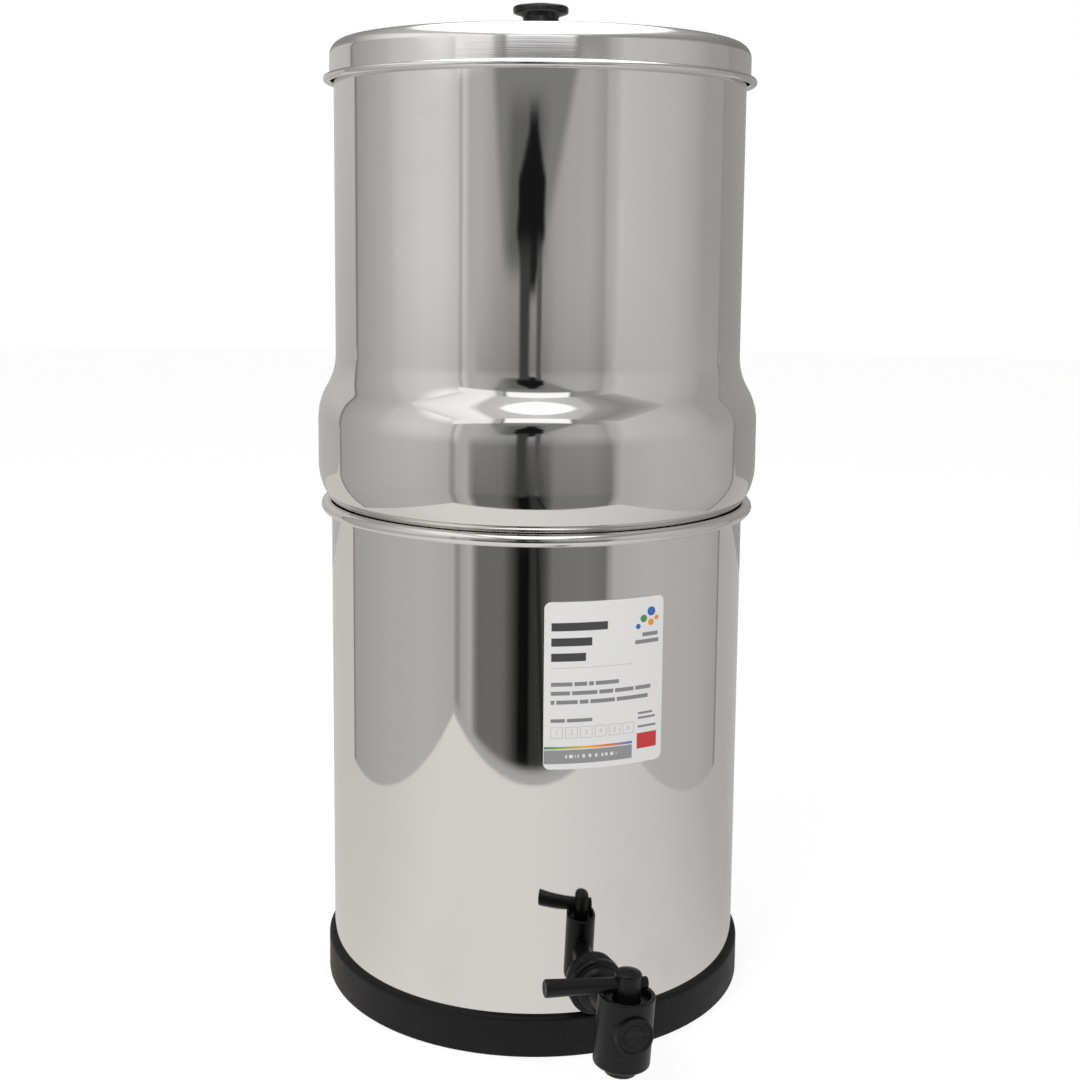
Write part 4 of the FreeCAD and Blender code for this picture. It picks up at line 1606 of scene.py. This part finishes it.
@dataclass
class Candle:
    """Ceramic candle in its moulded base, with its washer and wing nut."""

    number: int
    angle: float
    circle: float = 45.0 * MM
    floor: float = 229.97 * MM
    steel: float = 0.8 * MM
    washer: float = 3.0 * MM
    radius: float = 25.0 * MM
    height: float = 178.0 * MM
    shell: float = 9.0 * MM
    cup_wall: float = 1.8 * MM
    cup_height: float = 14.0 * MM
    cup_floor: float = 4.0 * MM
    stem: float = 6.0 * MM
    stem_bore: float = 2.5 * MM
    stem_length: float = 26.0 * MM
    thread_depth: float = 0.7 * MM
    thread_pitch: float = 1.5 * MM
    wing: float = 8.0 * MM

    def place(self) -> Matrix:
        """Where the candle stands."""
        return Matrix.Rotation(radians(self.angle), 4, "Z") @ Matrix.Translation((self.circle, 0, 0))

    def base(self) -> None:
        """Model the cup and the threaded stem."""
        base = self.floor + self.steel + self.washer
        inner = self.radius + FIT
        outer = inner + self.cup_wall
        end = self.floor - self.stem_length
        core = self.stem - self.thread_depth
        line = Profile(self.stem_bore, end)
        line.line(core - CHAMFER, end).line(core, end + CHAMFER).line(core, self.floor - 9.4 * MM)
        line.line(self.stem, self.floor - 8.8 * MM).line(self.stem, base)
        line.arc(outer - 0.8 * MM, base + 0.8 * MM, 0.8 * MM, -90, 0, 18)
        line.line(outer, base + self.cup_height - 0.4 * MM)
        line.line(outer - 0.4 * MM, base + self.cup_height)
        line.line(inner, base + self.cup_height).line(inner, base + self.cup_floor)
        line.line(self.stem_bore, base + self.cup_floor)
        cup = line.turned(f"candle_{self.number}_cup", 96)
        ridge = thread("stem_thread", core - 0.2 * MM, self.stem, self.thread_pitch, end + 1.2 * MM, 10)
        combined(cup, [ridge], "UNION")
        settle(smooth(tidy(cup, 1e-6), 32), self.place())
        hand_over(cup, WHITE_PLASTIC, Slot.WHITE_PLASTIC, Body.UPPER_VESSEL, f"candle_{self.number}_base")

    def ceramic(self) -> None:
        """Model the domed ceramic shell."""
        base = self.floor + self.steel + self.washer + self.cup_floor
        inner = self.radius - self.shell
        dome = base + self.height - self.radius
        line = Profile(inner, base)
        line.arc(self.radius - 0.6 * MM, base + 0.6 * MM, 0.6 * MM, -90, 0, 18)
        line.arc(0, dome, self.radius, 0, 90, 5)
        line.rows(0, [dome + inner])
        line.curve(0, dome, inner, 90, 0, 12)
        shell = settle(smooth(line.turned(f"candle_{self.number}_ceramic", 96)), self.place())
        hand_over(shell, CERAMIC, Slot.CERAMIC, Body.UPPER_VESSEL, f"candle_{self.number}_shell")

    def wing_nut(self) -> None:
        """Model the nut with its two round wings."""
        top = self.floor
        hub = Profile(self.stem + FIT, top - 10 * MM)
        hub.line(8.4 * MM, top - 10 * MM).line(9.1 * MM, top - 9.3 * MM).line(9.5 * MM, top - 1.4 * MM)
        hub.line(9.5 * MM, top - 0.3 * MM).line(9.2 * MM, top).line(self.stem + FIT, top)
        nut = hub.turned(f"candle_{self.number}_wing_nut_moulding", 72)
        wings = []
        for side in (-1, 1):
            middle = Vector((13 * MM * side, 0, top - 9 * MM))
            half = Vector((0, 1.5 * MM, 0))
            wing = rod("wing", self.wing, middle - half, middle + half, 48)
            modified(wing, "BEVEL", width=0.7 * MM, segments=3, limit_method="ANGLE",
                     angle_limit=radians(40))
            wings.append(wing)
        combined(nut, wings, "UNION")
        hole = rod("nut_hole", self.stem + FIT, (0, 0, top - 30 * MM), (0, 0, top + 5 * MM), 72)
        combined(nut, [hole], "DIFFERENCE")
        settle(smooth(tidy(nut, 1e-6), 32), self.place())
        hand_over(nut, WHITE_PLASTIC, Slot.WHITE_PLASTIC, Body.UPPER_VESSEL, f"candle_{self.number}_wing_nut")

    def build(self) -> None:
        """Model the candle and dress what it hides."""
        self.base()
        self.ceramic()
        self.wing_nut()
        repaint(f"candle_{self.number}_core", CARBON)
        repaint(f"candle_{self.number}_washer", WASHER_RUBBER)


@dataclass
class BlankingPlug:
    """Plug, washer and nut that close a hole without a candle."""

    number: int
    angle: float
    circle: float = 45.0 * MM
    floor: float = 229.97 * MM
    steel: float = 0.8 * MM
    washer: float = 2.5 * MM
    stem: float = 6.0 * MM
    length: float = 12.0 * MM
    head: float = 11.0 * MM
    head_height: float = 5.0 * MM
    edge: float = 1.5 * MM
    thread_depth: float = 0.7 * MM
    thread_pitch: float = 1.5 * MM
    nut: float = 20.0 * MM
    nut_height: float = 8.0 * MM

    def build(self) -> None:
        """Model the plug and its nut, and dress the washer."""
        base = self.floor + self.steel + self.washer
        top = base + self.head_height
        end = self.floor - self.length
        core = self.stem - self.thread_depth
        line = Profile(0, end)
        line.line(core - CHAMFER, end).line(core, end + CHAMFER).line(core, end + 3.6 * MM)
        line.line(self.stem, end + 4.0 * MM).line(self.stem, base)
        line.arc(self.head - 0.4 * MM, base + 0.4 * MM, 0.4 * MM, -90, 0, 30)
        line.arc(self.head - self.edge, top - self.edge, self.edge, 0, 90, 12)
        line.line(4.2 * MM, top).line(3.6 * MM, top - 0.8 * MM).line(0, top - 0.8 * MM)
        plug = line.turned(f"blanking_{self.number}_plug_moulding", 72)
        ridge = thread("plug_thread", core - 0.2 * MM, self.stem, self.thread_pitch, end + 1.2 * MM, 1)
        combined(plug, [ridge], "UNION")
        place = Matrix.Rotation(radians(self.angle), 4, "Z") @ Matrix.Translation((self.circle, 0, 0))
        settle(smooth(tidy(plug, 1e-6), 32), place)
        hand_over(plug, WHITE_PLASTIC, Slot.WHITE_PLASTIC, Body.UPPER_VESSEL, f"blanking_{self.number}_plug")
        nut = hex_nut(f"blanking_{self.number}_back_nut", self.nut, self.nut_height, self.stem + FIT,
                      self.floor - self.nut_height)
        settle(nut, place)
        hand_over(nut, WHITE_PLASTIC, Slot.WHITE_PLASTIC, Body.UPPER_VESSEL, f"blanking_{self.number}_nut")
        repaint(f"blanking_{self.number}_washer", WASHER_RUBBER)


def ramp(wiring: Wiring, value: Socket, start: float, end: float, stops: Iterable[tuple[float, float]],
         tints: tuple[Colour, Colour] = ((1.0, 0.992, 0.975), (1.0, 0.992, 0.975))) -> Socket:
    """Brightness that changes along a line, as polished steel shows it.

    Args:
        wiring: The material's wiring.
        value: Place along the line.
        start: Place where the line starts.
        end: Place where it ends.
        stops: Places with the display level that the steel shows of them.
        tints: Tint at the start and at the end.

    Returns:
        The brightness.
    """
    made = wiring.node("ShaderNodeValToRGB")
    wiring.link(wiring.span(value, start, end), made.inputs[0])
    stops = tuple(stops)
    while len(made.color_ramp.elements) < len(stops):
        made.color_ramp.elements.new(0.5)
    for element, (where, level) in zip(made.color_ramp.elements, stops):
        share = (where - start) / (end - start)
        element.position = share
        element.color = (*((first + (last - first) * share) * grey(level) / MIRROR
                           for first, last in zip(*tints)), 1.0)
    return made.outputs[0]


@dataclass(frozen=True)
class Shade:
    """A soft shape on a panel, between a foot and a head that each have a middle, a half width and a height."""

    level: float
    foot: Colour
    head: Colour
    soft: float
    fade: float

    def mask(self, wiring: Wiring, across: Socket, rise: Socket) -> Socket:
        """How much of the shape is at a place.

        Args:
            wiring: The material's wiring.
            across: Place across the panel.
            rise: Place up the panel.

        Returns:
            The mask.
        """
        low, high = self.foot[2], self.head[2]
        middle = wiring.span(rise, low, high, self.foot[0], self.head[0])
        half = wiring.span(rise, low, high, self.foot[1], self.head[1])
        aside = wiring.maths("ABSOLUTE", wiring.maths("SUBTRACT", across, middle))
        sides = wiring.span(wiring.maths("SUBTRACT", aside, half), 0.0, self.soft, 1.0, 0.0, smooth=True)
        foot = wiring.span(rise, low - self.fade, low, smooth=True)
        head = wiring.span(rise, high, high + self.fade, 1.0, 0.0, smooth=True)
        return wiring.maths("MULTIPLY", sides, wiring.maths("MULTIPLY", foot, head))


@dataclass(frozen=True)
class Glow:
    """A soft oval of light on a panel."""

    level: float
    middle: tuple[float, float]
    half: tuple[float, float]
    core: float

    def mask(self, wiring: Wiring, across: Socket, rise: Socket) -> Socket:
        """How much of the oval is at a place.

        Args:
            wiring: The material's wiring.
            across: Place across the panel.
            rise: Place up the panel.

        Returns:
            The mask.
        """
        parts = []
        for place, middle, half in zip((across, rise), self.middle, self.half):
            share = wiring.maths("DIVIDE", wiring.maths("SUBTRACT", place, middle), half)
            parts.append(wiring.maths("MULTIPLY", share, share))
        reach = wiring.maths("SQRT", wiring.maths("ADD", *parts))
        return wiring.span(reach, self.core, 1.0, 1.0, 0.0, smooth=True)


@dataclass(frozen=True)
class Cloth:
    """A lit panel of the light tent, in millimetres. Only reflections see it."""

    name: str
    corner: Colour
    along: Colour
    up: Colour
    low: tuple[tuple[float, float], ...]
    high: tuple[tuple[float, float], ...]
    change: tuple[float, float] = (170, 370)
    shapes: tuple[Shade | Glow, ...] = ()

    def hang(self, turn: Matrix) -> None:
        """Put the panel up.

        Args:
            turn: The tent's turn about the object.
        """
        clear_selection()
        bpy.ops.mesh.primitive_plane_add(size=1, location=(0, 0, 0))
        panel = fresh(self.name)
        corner, along, up = Vector(self.corner), Vector(self.along), Vector(self.up)
        matrix = Matrix.Identity(4)
        for row in range(3):
            matrix[row][0] = along[row] * MM
            matrix[row][1] = up[row] * MM
            matrix[row][2] = along.cross(up).normalized()[row]
            matrix[row][3] = (corner + along / 2 + up / 2)[row] * MM
        panel.matrix_world = turn @ matrix
        made = bpy.data.materials.new(self.name)
        wiring, output = cleared(made)
        light = wiring.node("ShaderNodeEmission")
        axes = wiring.node("ShaderNodeSeparateXYZ")
        wiring.link(wiring.place(), axes.inputs[0])
        starts = [corner.dot(edge.normalized()) for edge in (along, up)]
        ends = [start + edge.length for start, edge in zip(starts, (along, up))]
        across = wiring.span(axes.outputs["X"], -0.5, 0.5, starts[0], ends[0])
        rise = wiring.span(axes.outputs["Y"], -0.5, 0.5, starts[1], ends[1])
        colour = wiring.blend(wiring.span(rise, *self.change, smooth=True),
                              ramp(wiring, across, starts[0], ends[0], self.low),
                              ramp(wiring, across, starts[0], ends[0], self.high))
        for shape in self.shapes:
            flat = (grey(shape.level) / MIRROR,) * 3
            colour = wiring.blend(shape.mask(wiring, across, rise), colour, flat)
        wiring.link(colour, light.inputs["Color"])
        wiring.link(light.outputs[0], output.inputs["Surface"])
        panel.data.materials.append(made)
        for ray in ("camera", "diffuse", "transmission", "volume_scatter", "shadow"):
            setattr(panel, f"visible_{ray}", False)


@dataclass
class Studio:
    """Floor, world, lamps, light tent and camera."""

    camera_turn: float = 16.1
    distance: float = 0.7819
    height: float = 0.3769
    pitch: float = 0.1308
    yaw: float = 0.103
    roll: float = 0.52
    lens: float = 52.854
    shift: float = -0.10135
    left: float = -390.0
    right: float = 385.0
    front: float = -450.0
    back: float = 130.0
    ceiling: float = 560.0

    def panels(self) -> list[Cloth]:
        """The tent's panels, in a frame whose -Y side is towards the camera.

        Returns:
            The panels.
        """
        depth = self.back - self.front
        width = self.right - self.left
        tall = self.ceiling
        # The front panel's shapes: the camera and its tripod as dark shapes, painted shade in a V round the
        # camera, a paler strip along the foot, and bars of painted light and shade along the top.
        camera = (
            Shade(120, (-58, 62, 368), (5, 185, 540), 42, 30),
            Shade(92, (-60, 34, 362), (-44, 42, 438), 55, 34),
            Shade(30, (-34, 16, 338), (-30, 42, 370), 18, 16),
            Shade(22, (-30, 42, 370), (-26, 40, 404), 16, 8),
            Shade(22, (-26, 40, 404), (-20, 8, 436), 18, 26),
            Shade(58, (-54, 8, 190), (-50, 12, 345), 16, 30),
            Shade(80, (0, 3, 190), (4, 5, 345), 9, 30),
            Shade(36, (30, 3, 25), (2, 3, 170), 7, 20),
            Shade(50, (6, 3, 25), (-8, 3, 170), 7, 20),
            Shade(160, (0, 400, -5), (0, 400, 6), 10, 9),
            Shade(232, (-290, 95, 497), (-290, 95, 575), 50, 20),
            Shade(250, (2, 118, 504), (2, 118, 575), 20, 22),
            Shade(168, (-152, 6, 497), (-152, 6, 575), 14, 20),
            Shade(138, (205, 45, 497), (205, 45, 575), 25, 20),
        )
        return [
            Cloth("tent_left", (self.left, self.front, 0), (0, depth, 0), (0, 0, tall),
                  ((-450, 165), (-250, 172), (-80, 165), (110, 153), (130, 108)),
                  ((-450, 188), (-360, 199), (-240, 200), (-120, 187), (-80, 174), (0, 163), (110, 149),
                   (130, 100)), shapes=(Glow(236, (-340, 570), (200, 120), 0.25),)),
            Cloth("tent_right", (self.right, self.front, 0), (0, depth, 0), (0, 0, tall),
                  ((-450, 165), (-250, 172), (0, 165), (110, 155), (130, 108)),
                  ((-450, 187), (-300, 182), (-150, 176), (-60, 164), (0, 151), (110, 150), (130, 132))),
            Cloth("tent_front", (self.left, self.front, 0), (width, 0, 0), (0, 0, tall),
                  ((-390, 152), (-360, 130), (-335, 156), (-280, 167), (-255, 122), (-235, 100), (-180, 102),
                   (-125, 100), (-85, 62), (-60, 18), (-30, 14), (-18, 46), (15, 50), (40, 80), (62, 110),
                   (200, 114), (300, 105), (325, 142), (360, 165), (385, 168)),
                  ((-390, 194), (-360, 158), (-340, 194), (-300, 167), (-235, 168), (-160, 152), (-100, 142),
                   (10, 140), (40, 146), (62, 154), (110, 161), (200, 165), (278, 150), (300, 167),
                   (340, 172), (385, 185)), (150, 360), camera),
            Cloth("tent_ceiling", (self.left, self.front, tall), (width, 0, 0), (0, 1350, 0),
                  ((-390, 205), (-330, 228), (-205, 240), (-170, 186), (0, 200), (150, 180), (180, 150),
                   (260, 132), (330, 150), (385, 168)),
                  ((-390, 150), (-250, 130), (0, 135), (250, 118), (385, 115)), (-150, 150),
                  (Glow(300, (2, -150), (152, 245), 0.8),)),
            Cloth("backdrop", (-1600, 900, 0), (3200, 0, 0), (0, 0, 1600),
                  ((-1600, 167), (-120, 170), (160, 144), (1600, 140)),
                  ((-1600, 180), (-120, 182), (160, 148), (1600, 142)), (150, 600)),
        ]

    def floor(self, turn: Matrix) -> None:
        """Lay the pale floor: white to the camera but for the shadow; in reflections a cream glow of painted
        light, brighter towards the camera and dimmer behind.

        Args:
            turn: The tent's turn about the object.
        """
        clear_selection()
        bpy.ops.mesh.primitive_circle_add(vertices=96, radius=4.0, fill_type="NGON", location=(0, 0, 0))
        floor = fresh("studio_floor")
        floor.matrix_world = turn
        made = bpy.data.materials.new("studio_floor")
        wiring, output = cleared(made)
        seen = wiring.node("ShaderNodeAddShader")
        matt = wiring.plain("ShaderNodeBsdfDiffuse", (0.30, 0.298, 0.295))
        white = wiring.plain("ShaderNodeEmission", (1.0, 1.0, 1.0), 0.80)
        for part, socket in zip((matt, white), seen.inputs):
            wiring.link(part, socket)
        reflected_floor_glow = wiring.node("ShaderNodeEmission")
        axes = wiring.node("ShaderNodeSeparateXYZ")
        wiring.link(wiring.place(), axes.inputs[0])
        azimuth = wiring.maths("ARCTAN2", axes.outputs["X"], wiring.maths("MULTIPLY", axes.outputs["Y"], -1.0))
        # Painted light: the floor's glow in reflections is brighter towards the camera and dimmer behind and to
        # the right.
        light = ((-pi, 180), (-2.1, 190), (-1.4, 196), (-0.8, 208), (0.0, 208), (0.5, 200), (1.1, 189),
                 (1.75, 170), (2.1, 165), (pi, 177))
        wiring.link(ramp(wiring, azimuth, -pi, pi, light, ((1.0, 0.955, 0.92), (1.0, 0.985, 0.985))),
                    reflected_floor_glow.inputs["Color"])
        bounce = wiring.plain("ShaderNodeBsdfDiffuse", (0.80, 0.78, 0.74))
        mirrored = wiring.chosen("Is Glossy Ray", bounce, reflected_floor_glow.outputs[0])
        wiring.link(wiring.chosen("Is Camera Ray", mirrored, seen.outputs[0]), output.inputs["Surface"])
        floor.data.materials.append(made)

    def world(self) -> None:
        """White to the camera, and an even pale light on the object."""
        world = bpy.data.worlds.new("studio")
        bpy.context.scene.world = world
        wiring, output = cleared(world, "ShaderNodeOutputWorld")
        kind = "ShaderNodeBackground"
        around = wiring.chosen("Is Glossy Ray", wiring.plain(kind, (0.58, 0.58, 0.58)),
                               wiring.plain(kind, (0.34, 0.34, 0.335)))
        white = wiring.plain(kind, (1.0, 1.0, 1.0))
        wiring.link(wiring.chosen("Is Camera Ray", around, white), output.inputs["Surface"])

    def lamp(self, name: str, place: Colour, size: float, power: float, turn: Matrix) -> None:
        """Hang a soft lamp that points at the object.

        Args:
            name: Its name.
            place: Where it hangs, in the tent's frame.
            size: Side of its panel.
            power: Its power in watts.
            turn: The tent's turn about the object.
        """
        clear_selection()
        bpy.ops.object.light_add(type="AREA", location=(0, 0, 0))
        lamp = bpy.context.object
        lamp.name = name
        lamp.data.size = size
        lamp.data.energy = power
        where = turn @ Vector(place)
        lamp.location = where
        lamp.rotation_euler = (Vector((0, 0, 0.2)) - where).to_track_quat("-Z", "Y").to_euler()
        lamp.visible_glossy = False

    def camera(self) -> None:
        """Put the camera where the photograph was taken from."""
        turn = radians(self.camera_turn)
        heading = turn + radians(self.yaw)
        forward = Vector((sin(heading) * cos(self.pitch), cos(heading) * cos(self.pitch), -sin(self.pitch)))
        right = Vector((cos(heading), -sin(heading), 0))
        above = right.cross(forward)
        lean = radians(self.roll)
        x_axis = right * cos(lean) + above * sin(lean)
        y_axis = above * cos(lean) - right * sin(lean)
        clear_selection()
        bpy.ops.object.camera_add(location=(0, 0, 0))
        camera = bpy.context.object
        camera.name = "studio_camera"
        matrix = Matrix((x_axis, y_axis, -forward)).transposed().to_4x4()
        matrix.translation = (-self.distance * sin(turn), -self.distance * cos(turn), self.height)
        camera.matrix_world = matrix
        camera.data.sensor_width = 36.0
        camera.data.lens = self.lens
        camera.data.shift_y = self.shift
        camera.data.clip_start = 0.02
        bpy.context.scene.camera = camera

    def build(self) -> None:
        """Set up the whole studio."""
        turn = Matrix.Rotation(-radians(self.camera_turn), 4, "Z")
        self.floor(turn)
        self.world()
        panels = self.panels()
        for panel in panels:
            panel.hang(turn)
        self.lamp("soft_key", (-0.9, -1.1, 1.3), 1.2, 16.0, turn)
        self.lamp("soft_fill", (1.2, -0.8, 0.9), 1.2, 7.0, turn)
        self.camera()
        bpy.context.scene.view_settings.view_transform = "Standard"
        log.info("studio: %d panels", len(panels))


def main() -> None:
    """Build the filter, sub-assembly by sub-assembly, and the studio."""
    logging.basicConfig(level=logging.INFO, format="%(name)s: %(message)s")
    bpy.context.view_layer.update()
    assemblies = [BaseRing(), LowerChamber(), Label(), Tap(), UpperChamber(), Lid(),
                  Candle(1, 0.0), Candle(2, 180.0), BlankingPlug(1, 90.0), BlankingPlug(2, 270.0)]
    for assembly in assemblies:
        assembly.build()
    Studio().build()


if __name__ == "__main__":
    main()
